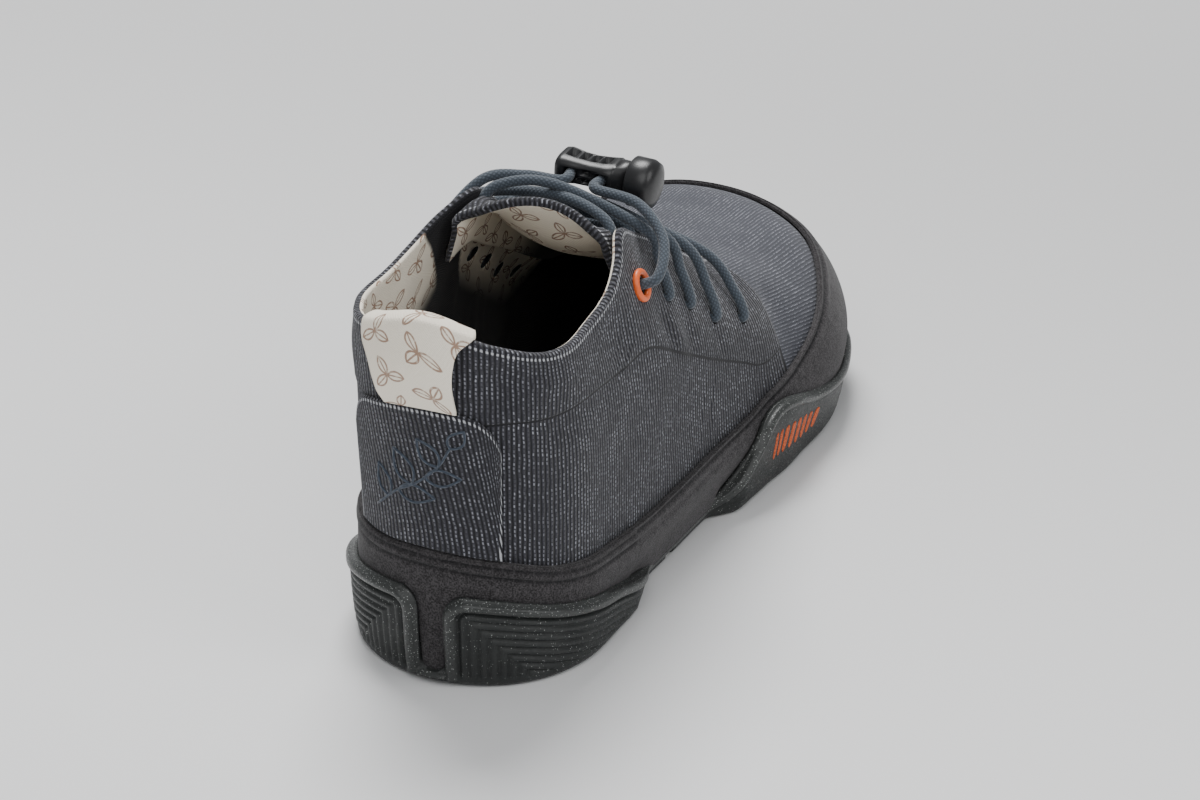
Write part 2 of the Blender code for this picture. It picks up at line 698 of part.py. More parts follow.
def lace_path(side, number):
    """A cord from one eyelet over the throat's edge to the far edge one row higher."""
    near_y = EYELET_Y[number]
    far_y = EYELET_Y[number - 1]
    middle_y = 0.5 * (near_y + far_y)
    point, out = eyelet(side, number)
    edge = lifted(u_at_y(side, near_y - 0.8), 4.0, 2.7)
    far = lifted(u_at_y(-side, far_y + 3.0), 4.0, 0.5)
    middle = lace_crown(middle_y) + np.array([0.0, 0.8, 2.6])
    stop = far + 0.22 * (middle - far)
    rise = lifted(u_at_y(side, near_y - 0.4), EYELET_V[number] + 0.3, 2.6)
    return smooth_path([point + 1.9 * out, rise, edge, middle, stop], 13)


def make_lace_crossing(number):
    first = face_out(swept(f"lace_cross_{number + 1}", lace_path(1, number), LACE_RADIUS))
    second = face_out(swept(f"lace_under_{number + 1}", lace_path(-1, number), LACE_RADIUS))
    cut(first, second, "UNION")
    return first


def make_eyelet_ring(name, side):
    point, out = eyelet(side, 0)
    first = np.cross(out, (0.0, 0.0, 1.0))
    first /= np.linalg.norm(first)
    second = np.cross(out, first)
    centre = point + 1.1 * out
    turns = np.linspace(0.0, 2 * math.pi, 14, endpoint=False)
    rings = []
    for turn in turns:
        ahead = math.cos(turn) * first + math.sin(turn) * second
        rolls = np.linspace(0.0, 2 * math.pi, 6, endpoint=False)
        ring = [centre + (2.95 + 0.75 * math.cos(roll)) * ahead + 0.75 * math.sin(roll) * out for roll in rolls]
        rings.append(ring)
    return face_out(place_mesh(name, np.concatenate(rings), band_faces(14, 6, True)))


def in_toggle(point):
    """A point of the cord lock's own frame, moved to its place on the shoe."""
    x, y, z = point
    tilt = math.radians(TOGGLE_TURN[1])
    yaw = math.radians(TOGGLE_TURN[2])
    x, z = x * math.cos(tilt) + z * math.sin(tilt), -x * math.sin(tilt) + z * math.cos(tilt)
    x, y = x * math.cos(yaw) - y * math.sin(yaw), x * math.sin(yaw) + y * math.cos(yaw)
    return np.array([x, y, z]) + np.array(TOGGLE_AT)


def make_toggle_body():
    """The lock's body, in the frame of its own axis: a waisted block with a round neck."""
    sides = 16
    rings = []
    for along, deep, high, square in BODY_RINGS:
        ring = []
        for step in range(sides):
            turn = 2 * math.pi * step / sides
            c, s = math.cos(turn), math.sin(turn)
            reach = (abs(c) ** square + abs(s) ** square) ** (-1.0 / square)
            ring.append((along, deep * reach * c, high * reach * s))
        rings.append(ring)
    faces = band_faces(len(rings), sides, False)
    faces.append(tuple(range(sides)))
    faces.append(tuple((len(rings) - 1) * sides + corner for corner in range(sides)))
    body = face_out(place_mesh("toggle_body", np.concatenate(rings), faces, "lock_axis"))
    bore = [(-1.2, 0.0, 0.0), (12.0, 0.0, 0.0)]
    cut(body, face_out(swept("stem_bore", bore, STEM_BORE, 12, "lock_axis")))
    for number, along in enumerate(LACE_HOLES):
        hole = [(along, -8.0, 0.0), (along, -1.0, 0.0)]
        cut(body, face_out(swept(f"lace_hole_{number}", hole, LACE_HOLE_RADIUS, 10, "lock_axis")))
    return body


def make_plunger():
    """The lock's button with its stem, turned about the axis that it slides along."""
    sides = 16
    turns = np.linspace(0.0, 2 * math.pi, sides, endpoint=False)
    rings = []
    for along, radius in PLUNGER_PROFILE[1:-1]:
        rings.append([(along, radius * math.cos(turn), radius * math.sin(turn)) for turn in turns])
    faces = band_faces(len(rings), sides, False)
    faces.append(tuple(range(sides)))
    faces.append(tuple((len(rings) - 1) * sides + corner for corner in range(sides)))
    return face_out(place_mesh("toggle_plunger", np.concatenate(rings), faces, "lock_axis"))


def make_cord(name, knots):
    """A free end of the lace: a round tube along a smooth curve through a few points."""
    path = smooth_path(knots, CORD_POINTS)
    curve = bpy.data.curves.new(name, "CURVE")
    curve.dimensions = "3D"
    curve.bevel_depth = LACE_RADIUS * MM
    curve.bevel_resolution = 2
    curve.use_fill_caps = True
    spline = curve.splines.new("POLY")
    spline.points.add(len(path) - 1)
    for point, place_at in zip(spline.points, path):
        point.co = (*(place_at * MM), 1.0)
    return place(name, curve, "shoe")


def make_lace_ends():
    point, out = eyelet(1, 0)
    lateral = [
        point + 0.3 * out,
        point + 3.6 * out + np.array([0.6, 2.0, 1.0]),
        np.array([25.4, 71.5, 78.6]),
        np.array([17.5, 76.5, 83.4]),
        in_toggle((LACE_HOLES[1] + 0.4, -7.5, -0.2)),
        in_toggle((LACE_HOLES[1], -2.6, 0.0)),
    ]
    make_cord("lace_end_lateral", lateral)
    point, out = eyelet(-1, 0)
    medial = [
        point + 0.3 * out,
        point + 3.2 * out + np.array([0.0, 3.4, 0.6]),
        np.array([-17.0, 71.5, 85.2]),
        np.array([-9.5, 77.5, 85.0]),
        in_toggle((LACE_HOLES[0] - 0.4, -7.5, -0.1)),
        in_toggle((LACE_HOLES[0], -2.6, 0.0)),
    ]
    make_cord("lace_end_medial", medial)


# Frame and materials
def make_empty(name, location, turn=(0.0, 0.0, 0.0), holder=None):
    made = bpy.data.objects.new(name, None)
    bpy.context.scene.collection.objects.link(made)
    made.location = np.array(location) * MM
    made.rotation_euler = [math.radians(angle) for angle in turn]
    made.parent = holder
    return made


def paint():
    """Gives each piece the material whose row names the start of its name."""
    for name, colour, roughness, metallic, pieces in MATERIALS:
        material = bpy.data.materials.new(name)
        material.use_nodes = True
        surface = material.node_tree.nodes["Principled BSDF"]
        surface.inputs["Base Color"].default_value = (*colour, 1.0)
        surface.inputs["Roughness"].default_value = roughness
        surface.inputs["Metallic"].default_value = metallic
        for made in bpy.data.objects:
            if made.data and made.name.startswith(pieces):
                made.data.materials.append(material)


def main():
    for old in list(bpy.data.objects):
        bpy.data.objects.remove(old)
    shoe = make_empty("shoe", (-MIDDLE_X, -MIDDLE_Y, 0.0))
    make_empty("lock_axis", TOGGLE_AT, TOGGLE_TURN, shoe)
    u = even_columns(COLUMNS)
    make_upper(u)
    shell_ring("rand", u, RAND_V, RAND_GAP, RAND_GAP + RAND_THICK)
    make_sole(u)
    make_insole(u)
    make_heel_patch()
    make_pull_loop()
    make_tongue()
    for number in range(1, len(EYELET_Y)):
        make_lace_crossing(number)
    make_eyelet_ring("eyelet_lateral", 1)
    make_eyelet_ring("eyelet_medial", -1)
    make_toggle_body()
    make_plunger()
    make_lace_ends()
    paint()


main()
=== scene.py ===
"""Looks of the right barefoot shoe: cloth upper, microfibre band, rubber sole, elastic lace and cord lock.

Shapes are worked out in millimetres in the frame of the tables, with the heel near y = 0, and move to the
part's frame when they become meshes. u counts the rows of SECTIONS round the shoe, from the back of the
heel by the outer side, and v runs from 0 at the sole's edge to 4 at the collar and throat.
"""

import math

import bmesh
import bpy
import numpy as np
from mathutils import Matrix, Vector


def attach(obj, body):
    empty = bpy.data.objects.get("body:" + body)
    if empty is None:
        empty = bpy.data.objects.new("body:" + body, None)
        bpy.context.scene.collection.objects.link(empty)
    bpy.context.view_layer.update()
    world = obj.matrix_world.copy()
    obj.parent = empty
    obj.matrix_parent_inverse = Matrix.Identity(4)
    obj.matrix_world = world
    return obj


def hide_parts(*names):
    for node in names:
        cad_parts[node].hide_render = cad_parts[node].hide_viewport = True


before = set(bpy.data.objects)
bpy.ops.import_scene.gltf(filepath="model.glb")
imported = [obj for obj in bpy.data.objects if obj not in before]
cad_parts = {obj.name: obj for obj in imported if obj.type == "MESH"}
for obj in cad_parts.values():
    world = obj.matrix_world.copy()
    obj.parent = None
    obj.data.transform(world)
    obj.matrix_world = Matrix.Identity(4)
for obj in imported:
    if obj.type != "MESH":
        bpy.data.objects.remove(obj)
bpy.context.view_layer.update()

MM = 0.001

# Driving dimensions, in millimetres, as in the part
MIDDLE = np.array([0.82, 94.41, 0.0])
FEATHER_Z = 4.5
WALL_Z = 14.0
SPRING_START_Y = 118.0
SPRING_END_Y = 186.5
TOE_SPRING = 6.0
ARCH_LIFT = 1.6
ARCH_Y = 74.0
ARCH_HALF = 27.0
WALL = 1.8
RAND_GAP = 0.4
RAND_THICK = 1.1
PATCH_THICK = 0.9
CUP_GAP = 2.35
CUP_THICK = 2.2
SOLE_THICK = 4.1
INSOLE_THICK = 3.0
TONGUE_THICK = 2.4
TONGUE_LIFT = -2.5
LACE_RADIUS = 1.2
EYELET_HOLE = 2.0
NOTCH_HALF = 3.0
NOTCH_SHIFT = 0.6
NOTCH_FLOOR = 2.9
NOTCH_BACK = 5.6
NOTCH_CORNER = 2.2
NOTCH_ROUND = 5.0
TUCK_GAP = 1.5
TUCK_V = (0.08, 0.26)
RIM_LEAST = 0.08

# One row for each ray section, from the back of the heel round by the outer side
SECTIONS = (
    # name, axis_y, turn, feather_r, wall_r, rand_r, rand_z, shoulder_r, shoulder_z, edge_r, edge_z, rim_z
    ("heel_back", 30, -90, 22.4, 25.4, 25.7, 32, 26.8, 60, 27.6, 85.3, 22.4),
    ("heel_lat_60", 30, -58, 22.8, 26.0, 26.2, 30, 26.4, 58, 26.4, 80.0, 21.2),
    ("heel_lat_30", 30, -28, 23.0, 26.4, 26.5, 26, 26.2, 54, 24.2, 75.4, 17.4),
    ("lat_ankle", 32, 0, 23.4, 26.8, 26.8, 23, 26.4, 52, 23.2, 74.5, 13.6),
    ("lat_collar", 46, 0, 24.2, 27.8, 27.7, 21, 27.0, 52, 23.2, 76.0, 9.2),
    ("lat_rise", 56, 0, 24.9, 28.6, 28.4, 20, 27.4, 54, 21.4, 79.6, 6.4),
    ("lat_corner", 63, 0, 25.4, 29.2, 29.0, 20, 27.8, 55, 19.0, 83.5, 5.2),
    ("lat_eyestay", 73, 0, 26.3, 30.2, 29.9, 20, 28.2, 53, 17.9, 78.4, 4.9),
    ("lat_instep", 89, 0, 27.6, 31.6, 31.0, 20, 28.8, 48, 18.4, 69.0, 5.0),
    ("lat_ball", 105, 0, 29.6, 33.6, 32.8, 20.5, 29.6, 43, 18.8, 58.6, 15.6),
    ("lat_joint", 116, 0, 31.2, 35.2, 34.2, 22, 30.2, 40, 17.6, 53.0, 19.2),
    ("lat_toe_20", 118, 20, 34.4, 39.0, 37.6, 24, 28.2, 42.5, 16.0, 50.5, 15.6),
    ("lat_toe_45", 118, 45, 45.6, 51.0, 46.5, 29, 30.0, 43, 13.4, 49.5, 11.0),
    ("lat_toe_62", 118, 62, 55.5, 61.5, 53.5, 33, 33.0, 43.5, 11.2, 49.0, 9.0),
    ("toe_76", 118, 76, 59.8, 66.2, 56.5, 35, 34.5, 43.5, 9.8, 49.0, 8.6),
    ("toe_tip", 118, 90, 61.4, 68.4, 58.5, 35.5, 35.5, 43.5, 9.0, 49.0, 8.8),
    ("toe_104", 118, 104, 61.4, 68.4, 58.5, 35.5, 35.5, 43.5, 9.4, 49.0, 8.8),
    ("med_toe_118", 118, 118, 56.5, 62.5, 54.0, 35, 33.5, 43.5, 10.8, 49.0, 9.4),
    ("med_toe_135", 118, 135, 44.0, 49.5, 44.0, 33, 29.5, 43.5, 13.0, 49.5, 10.5),
    ("med_toe_160", 118, 160, 33.0, 37.4, 35.4, 31, 27.0, 43.5, 15.2, 50.5, 12.5),
    ("med_joint", 116, 180, 29.2, 33.2, 32.3, 29, 28.6, 42, 16.6, 53.0, 12.5),
    ("med_ball", 105, 180, 26.4, 30.4, 30.0, 28, 27.6, 46, 17.8, 59.0, 9.0),
    ("med_instep", 89, 180, 23.6, 27.4, 27.4, 28, 26.4, 51, 17.6, 70.0, 5.0),
    ("med_eyestay", 73, 180, 22.6, 26.4, 26.6, 28, 26.2, 56, 16.6, 80.6, 4.9),
    ("med_corner", 64, 180, 22.4, 26.2, 26.4, 28, 26.2, 58, 15.8, 87.0, 5.2),
    ("med_rise", 56, 180, 22.4, 26.2, 26.4, 28, 26.4, 56, 20.6, 83.4, 6.4),
    ("med_collar", 46, 180, 22.6, 26.2, 26.4, 28, 26.6, 54, 23.6, 79.4, 9.8),
    ("med_ankle", 32, 180, 22.4, 25.4, 25.5, 29, 26.0, 53, 25.0, 77.6, 15.5),
    ("heel_med_30", 30, 208, 21.8, 24.3, 24.5, 30, 25.7, 55, 25.6, 79.0, 18.5),
    ("heel_med_60", 30, 238, 21.9, 24.6, 24.9, 31, 26.0, 58, 27.8, 81.6, 21.4),
)
ROW = {row[0]: index for index, row in enumerate(SECTIONS)}
COLUMN_NAMES = (
    "axis_y turn feather_r wall_r rand_r rand_z shoulder_r shoulder_z edge_r edge_z rim_z"
).split()
TABLE = {
    name: np.array([row[place + 1] for row in SECTIONS], float)
    for place, name in enumerate(COLUMN_NAMES)
}
ROWS = len(SECTIONS)

# Lower seam of the collar and eyestay panels on the outer side; the inner side mirrors it
PANEL_SEAM = (
    # u, v
    (1.08, 3.07),
    (1.79, 3.39),
    (2.61, 3.43),
    (3.51, 3.28),
    (4.09, 3.29),
    (4.88, 3.17),
    (6.32, 3.03),
    (7.11, 2.93),
    (7.72, 2.84),
    (8.82, 2.66),
    (10.65, 2.25),
)
VAMP_U = 10.65

# Soft creases of the cloth: where each starts and ends, its half width and its height, troughs below zero
CREASES = (
    # start_u, start_v, end_u, end_v, half_width, height
    (3.5, 3.95, 4.3, 3.25, 6.0, -0.9),
    (4.9, 3.85, 5.2, 3.2, 5.0, 0.5),
    (0.95, 3.88, 1.15, 3.3, 3.6, -1.1),
    (1.6, 3.8, 2.6, 3.62, 5.0, 0.8),
    (1.5, 3.35, 3.0, 3.2, 5.0, -0.5),
    (6.55, 3.35, 6.95, 2.95, 2.6, -0.85),
    (6.95, 3.25, 7.25, 2.9, 2.2, 0.5),
    (7.45, 3.2, 7.6, 2.85, 2.6, -0.65),
    (8.25, 3.1, 8.45, 2.75, 2.6, -0.55),
    (6.0, 2.55, 8.2, 2.4, 9.0, -0.8),
    (4.6, 2.7, 5.6, 2.3, 8.0, 0.4),
    (10.9, 3.0, 11.2, 2.4, 4.0, -0.35),
    (26.4, 3.9, 25.9, 3.3, 6.0, -0.8),
    (27.4, 3.7, 28.6, 3.6, 6.0, 0.6),
    (23.3, 3.3, 23.1, 2.9, 2.8, -0.5),
    (22.4, 3.15, 22.2, 2.8, 2.6, -0.4),
    (24.2, 2.6, 21.8, 2.45, 9.0, -0.6),
    (19.0, 3.0, 18.8, 2.4, 4.0, -0.35),
)

EYELET_Y = (61.8, 75.5, 85.3, 96.0, 110.5)
EYELET_V = (3.56, 3.42, 3.33, 3.16, 3.09)
GROOVE_PATH = ((-10, 164), (-13, 146), (-14, 126), (-11, 108), (-3, 94), (9, 83), (22, 74), (36, 66))
GROOVE_HALF = 1.7
GROOVE_DEPTH = 2.0

TOGGLE_AT = np.array([4.2, 86.3, 84.4])
TOGGLE_TILT = math.radians(3.0)
TOGGLE_YAW = math.radians(-2.0)

TONGUE_CROWN = (
    # outer_u, inner_u, outer_inset, inner_inset, x, y, z
    ("lat_toe_45", "med_toe_135", 0.0, 0.0, 0.0, 131.0, 44.6),
    ("lat_toe_20", "med_toe_160", 0.0, 0.0, 0.0, 123.0, 48.2),
    (116.0, 116.0, 0.0, 0.0, 0.2, 116.0, 52.4),
    (104.0, 104.0, 0.0, 0.0, 0.4, 104.0, 57.6),
    (92.0, 92.0, 0.0, 0.0, 0.5, 92.0, 63.2),
    (82.0, 82.0, 0.0, 0.0, 0.7, 82.0, 68.2),
    (74.0, 74.0, 0.0, 0.0, 1.0, 74.0, 72.6),
    (67.5, 67.0, 0.1, 0.2, 1.4, 67.5, 78.0),
    (63.5, 61.5, 0.3, 0.6, 1.8, 63.0, 84.6),
    (60.5, 57.5, 0.6, 1.0, 2.0, 60.4, 89.0),
)
LACE_CROWN = (
    # y, z
    (56.0, 90.0),
    (66.0, 86.0),
    (75.0, 80.4),
    (85.0, 73.8),
    (95.0, 67.2),
    (105.0, 60.8),
    (116.0, 54.0),
)
LOOP_ROWS = (
    # v, near_lift, near_rise, far_lift, far_rise, first_u, last_u
    (3.76, -2.4, 0.0, -3.5, 0.0, -0.90, 0.66),
    (3.94, -2.4, 0.0, -3.5, 0.0, -0.94, 0.70),
    (4.00, -2.3, 0.5, -3.4, 0.9, -0.96, 0.72),
    (4.00, -1.4, 0.8, -2.0, 1.8, -0.96, 0.72),
    (4.00, -0.2, 0.8, 0.3, 1.8, -0.95, 0.71),
    (4.00, 0.7, 0.4, 1.7, 0.9, -0.93, 0.66),
    (3.88, 1.6, 0.0, 2.7, 0.2, -0.88, 0.48),
    (3.72, 2.9, 0.0, 4.0, 0.0, -0.71, 0.42),
    (3.55, 3.3, 0.0, 4.4, 0.0, -0.63, 0.41),
    (3.40, 2.6, 0.0, 3.7, 0.0, -0.61, 0.43),
    (3.30, 1.4, 0.0, 2.5, 0.0, -0.61, 0.44),
    (3.24, 0.5, 0.0, 1.6, 0.0, -0.62, 0.44),
)

# Heel patch: where it ends on each side and its top, lower at its rounded corners
PATCH_SIDES = (-1.6, 1.05)
PATCH_LOW = 2.025
PATCH_TOP = 3.22
PATCH_DROP = 0.30
PATCH_SQUARE = 7
PATCH_CELLS = 100


# Form of the shoe, as in the part
def unit(vectors):
    return vectors / np.linalg.norm(vectors, axis=-1, keepdims=True)


def circle(count):
    return np.linspace(0.0, 2 * math.pi, count, endpoint=False)


def lengths(grid, axis=0):
    """Distances along a row of points, or along one axis of a grid of them, from its start."""
    step = np.linalg.norm(np.diff(grid, axis=axis), axis=-1)
    return np.concatenate([np.zeros_like(np.take(step, [0], axis)), np.cumsum(step, axis)], axis)


def smooth_step(value, low, high):
    share = np.clip((value - low) / (high - low), 0.0, 1.0)
    return share * share * (3 - 2 * share)


def between(value, rise, fall):
    """One between two limits, each a pair of values over which it rises or falls."""
    return smooth_step(value, *rise) * (1 - smooth_step(value, *fall))


def hill(value, middle, half):
    return np.exp(-(((value - middle) / half) ** 2))


def spline(before, first, second, after, part):
    """A smooth curve from first to second, as part runs from 0 to 1."""
    bend = 2 * before - 5 * first + 4 * second - after
    twist = 3 * first - before - 3 * second + after
    return first + 0.5 * (second - before) * part + 0.5 * bend * part**2 + 0.5 * twist * part**3


def blend(values, u, lap=0.0):
    """A smooth closed curve through the rows; lap is what one turn round the shoe adds."""
    start = np.floor(u).astype(int)
    rows = [start + step for step in (-1, 0, 1, 2)]
    return spline(*(values[row % ROWS] + lap * np.floor_divide(row, ROWS) for row in rows), u - start)


def through(points, v):
    """A smooth open curve through points at whole numbers, at v."""
    inner = np.stack(points, 0)
    full = np.concatenate([2 * inner[:1] - inner[1:2], inner, 2 * inner[-1:] - inner[-2:-1]], 0)
    start = np.clip(np.floor(v).astype(int), 0, len(points) - 2)
    every = np.arange(full.shape[1])
    return spline(*(full[start + step, every] for step in range(4)), v - start)


def smooth_path(points, count):
    """A smooth open curve through a few points."""
    knots = np.asarray(points, float)
    at = np.linspace(0.0, len(knots) - 1, count)
    return np.stack([through(list(knots[:, axis : axis + 1].repeat(count, 1)), at) for axis in range(3)], -1)


def spring(y):
    share = np.clip((y - SPRING_START_Y) / (SPRING_END_Y - SPRING_START_Y), 0.0, None)
    return TOE_SPRING * share**2


def skin(u, v):
    """Points on the outside of the upper, one for each pair of u and v."""
    u, v = np.broadcast_arrays(np.asarray(u, float), np.asarray(v, float))
    shape = u.shape
    u = u.ravel()
    v = v.ravel()
    row = {name: blend(TABLE[name], u, 360.0 if name == "turn" else 0.0) for name in TABLE}
    level = np.ones_like(u)
    radius = through([row["feather_r"], row["wall_r"], row["rand_r"], row["shoulder_r"], row["edge_r"]], v)
    height = through([FEATHER_Z * level, WALL_Z * level, row["rand_z"], row["shoulder_z"], row["edge_z"]], v)
    turn = np.radians(row["turn"])
    x = radius * np.cos(turn)
    y = row["axis_y"] + radius * np.sin(turn)
    return np.stack([x, y, height + spring(y)], -1).reshape(shape + (3,))


def normal(u, v):
    u, v = np.broadcast_arrays(np.asarray(u, float), np.asarray(v, float))
    along = skin(u + 0.02, v) - skin(u - 0.02, v)
    up = skin(u, np.clip(v + 0.02, 0.0, 4.0)) - skin(u, np.clip(v - 0.02, 0.0, 4.0))
    return unit(np.cross(along, up))


def lifted(u, v, lift):
    return skin(u, v) + np.asarray(lift, float)[..., None] * normal(u, v)


def upward(u, v):
    """The way up the skin just below v."""
    return unit(skin(u, v) - skin(u, v - 0.05))


def even_columns(count, level=1.5):
    """Values of u that are evenly spaced along the wall, from the back of the heel round to it again."""
    fine = np.linspace(0.0, ROWS, 3001)
    travelled = lengths(skin(fine, level))
    return np.interp(np.linspace(0.0, travelled[-1], count + 1), travelled, fine)


def wall_travel(u, level):
    """Distance along the wall from the back of the heel at this v, for u from -ROWS to 2 * ROWS."""
    fine = np.linspace(-ROWS, 2 * ROWS, 9001)
    travelled = lengths(skin(fine, level))
    return np.interp(u, fine, travelled - np.interp(0.0, fine, travelled))


def arc_up(u, v):
    """Length along the skin from the edge at v = 4 down to v, a list for all u or a grid of its own."""
    v = np.broadcast_to(v if np.ndim(v) == 2 else np.asarray(v)[:, None], (len(v), len(u)))
    fine = np.linspace(-0.2, 4.0, 169)
    total = lengths(skin(u[None, :], fine[:, None]))
    from_edge = total[-1][None] - total
    return np.stack([np.interp(v[:, column], fine, from_edge[:, column]) for column in range(len(u))], 1)


def u_at_y(side, y):
    """The u of the straight rows on one side, where the ray sits at this y."""
    first, last = ("lat_ankle", "lat_joint") if side > 0 else ("med_joint", "med_ankle")
    rows = np.linspace(ROW[first], ROW[last], 400)
    places = blend(TABLE["axis_y"], rows)
    order = np.argsort(places)
    return float(np.interp(y, places[order], rows[order]))


def outer_u(u):
    """u folded onto the outer side, so that a rule for that side serves the inner one too."""
    wrapped = np.asarray(u) % ROWS
    return np.where(wrapped > ROWS / 2, ROWS - wrapped, wrapped)


def eyelet(side, number):
    """An eyelet's place, the way out of the wall there, and two directions along the wall."""
    u = u_at_y(side, EYELET_Y[number])
    v = EYELET_V[number]
    out = normal(u, v)
    first = unit(np.cross(out, (0.0, 0.0, 1.0)))
    return skin(u, v), out, first, np.cross(out, first)


def seam_height(u):
    """The panel seam's v at u, rounded over its corners."""
    seam = np.array(PANEL_SEAM)
    steps = np.linspace(-1.2, 1.2, 17)
    return np.mean([np.interp(outer_u(u) + step, seam[:, 0], seam[:, 1]) for step in steps], axis=0)


def crease_height(points):
    """Height of the creases at these points of the skin."""
    height = np.zeros(points.shape[:-1])
    for start_u, start_v, end_u, end_v, half, rise in CREASES:
        line = skin(np.linspace(start_u, end_u, 9), np.linspace(start_v, end_v, 9))
        gaps = np.stack([np.linalg.norm(points - spot, axis=-1) for spot in line])
        fade = np.sin(math.pi * (np.argmin(gaps, 0) + 0.6) / (len(line) + 0.2))
        height += rise * fade * hill(gaps.min(0), 0.0, half)
    return height


# Meshes
def in_part(points):
    """Points of the tables' frame, moved to the part's frame, in metres."""
    return (np.asarray(points, float) - MIDDLE) * MM


def linked(name, data):
    made = bpy.data.objects.new(name, data)
    bpy.context.scene.collection.objects.link(made)
    return made


def grid_piece(name, points, wrap=(False, True), maps=None, values=None, body="shoe"):
    """A mesh over a grid of points, with wrap for rows and columns.

    maps holds UV grids, one column wider than the points where the columns wrap, and values holds
    grids of one number for each point.
    """
    rows, columns = points.shape[:2]
    row = np.arange(rows if wrap[0] else rows - 1)
    column = np.arange(columns if wrap[1] else columns - 1)
    r, c = np.meshgrid(row, column, indexing="ij")
    corners = ((r, c), (r, c + 1), (r + 1, c + 1), (r + 1, c))
    faces = np.stack([a % rows * columns + b % columns for a, b in corners], -1).reshape(-1, 4)
    mesh = bpy.data.meshes.new(name)
    mesh.from_pydata(in_part(points.reshape(-1, 3)).tolist(), [], faces.tolist())
    made = linked(name, mesh)
    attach(made, body)
    for key, grid in (maps or {}).items():
        layer = mesh.uv_layers.new(name=key, do_init=False)
        at_corners = np.stack([grid[a % rows, b] for a, b in corners], -2)
        layer.uv.foreach_set("vector", at_corners.astype(np.float32).ravel())
    for key, grid in (values or {}).items():
        layer = mesh.attributes.new(key, "FLOAT", "POINT")
        layer.data.foreach_set("value", np.asarray(grid, np.float32).ravel())
    return made


def faces_out(made, merge=0.0):
    """Turns the faces outward, shades them smooth, and merges points closer than merge millimetres."""
    work = bmesh.new()
    work.from_mesh(made.data)
    if merge:
        bmesh.ops.remove_doubles(work, verts=work.verts, dist=merge * MM)
    bmesh.ops.recalc_face_normals(work, faces=work.faces)
    work.to_mesh(made.data)
    work.free()
    made.data.shade_smooth()
    return made


def dress(made, looks, node=None):
    """Gives a piece its looks, one slot each, and hides the part's node that it replaces."""
    for key in looks:
        made.data.materials.append(LOOKS[key])
    if node:
        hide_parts(node)
    return made


def cutter(name, stacks):
    """A closed body over each stack of rings, all in one mesh."""
    points = []
    faces = []
    for stack in stacks:
        rings, sides = stack.shape[:2]
        here = len(points) + np.arange(rings * sides).reshape(rings, sides)
        beside = np.roll(here, -1, axis=1)
        faces += np.stack([here[:-1], beside[:-1], beside[1:], here[1:]], -1).reshape(-1, 4).tolist()
        faces += [here[0, ::-1].tolist(), here[-1].tolist()]
        points += in_part(stack.reshape(-1, 3)).tolist()
    mesh = bpy.data.meshes.new(name)
    mesh.from_pydata(points, [], faces)
    return faces_out(linked(name, mesh))


def cut(made, tool):
    """Takes the cutter out of a closed piece and removes it."""
    change = made.modifiers.new("cut", "BOOLEAN")
    change.operation = "DIFFERENCE"
    change.solver = "MANIFOLD"
    change.object = tool
    for material in made.data.materials:
        tool.data.materials.append(material)
    bpy.context.view_layer.update()
    graph = bpy.context.evaluated_depsgraph_get()
    shape = bpy.data.meshes.new_from_object(made.evaluated_get(graph))
    made.modifiers.clear()
    old = made.data
    made.data = shape
    bpy.data.meshes.remove(old)
    bpy.data.objects.remove(tool)


def capped(rings):
    """Rings with a ring of one point added at each end, so that the ends close."""
    ends = [np.repeat(ring.mean(0, keepdims=True), len(ring), 0)[None] for ring in (rings[0], rings[-1])]
    return np.concatenate([ends[0], rings, ends[1]])


def tube(name, path, radius, sides=14):
    """A round cord with closed ends; its map runs round it and along it in millimetres."""
    before = path[:1] - 0.01 * unit(path[1] - path[0])
    after = path[-1:] + 0.01 * unit(path[-1] - path[-2])
    path = np.concatenate([before, path, after])
    reach = np.full(len(path), radius)
    reach[[0, -1]] = 0.02
    heading = unit(np.gradient(path, axis=0))
    side = np.cross(heading[0], (0.0, 0.0, 1.0))
    turns = circle(sides)[:, None]
    rings = []
    for point, ahead, size in zip(path, heading, reach):
        side = unit(side - ahead * np.dot(side, ahead))
        rings.append(point + size * (np.cos(turns) * side + np.sin(turns) * np.cross(ahead, side)))
    around = np.linspace(0.0, 1.0, sides + 1)
    grid = np.stack(np.broadcast_arrays(around[None, :], lengths(path)[:, None]), -1)
    return faces_out(grid_piece(name, np.array(rings), maps={"cord": grid}))


# Materials
class Wire:
    """An output in a look's node tree; sums with it become Math nodes."""

    def __init__(self, look, socket):
        self.look = look
        self.socket = socket

    def __add__(self, other):
        return self.look.math("ADD", self, other)

    def __sub__(self, other):
        return self.look.math("SUBTRACT", self, other)

    def __mul__(self, other):
        return self.look.math("MULTIPLY", self, other)

    def __truediv__(self, other):
        return self.look.math("DIVIDE", self, other)

    def __abs__(self):
        return self.look.math("ABSOLUTE", self)

    def floor(self):
        return self.look.math("FLOOR", self)

    def sine(self):
        return self.look.math("SINE", self)

    def from_middle(self):
        """Signed distance from the middle of the cell of length one that the value lies in."""
        return self.look.math("FRACT", self) - 0.5


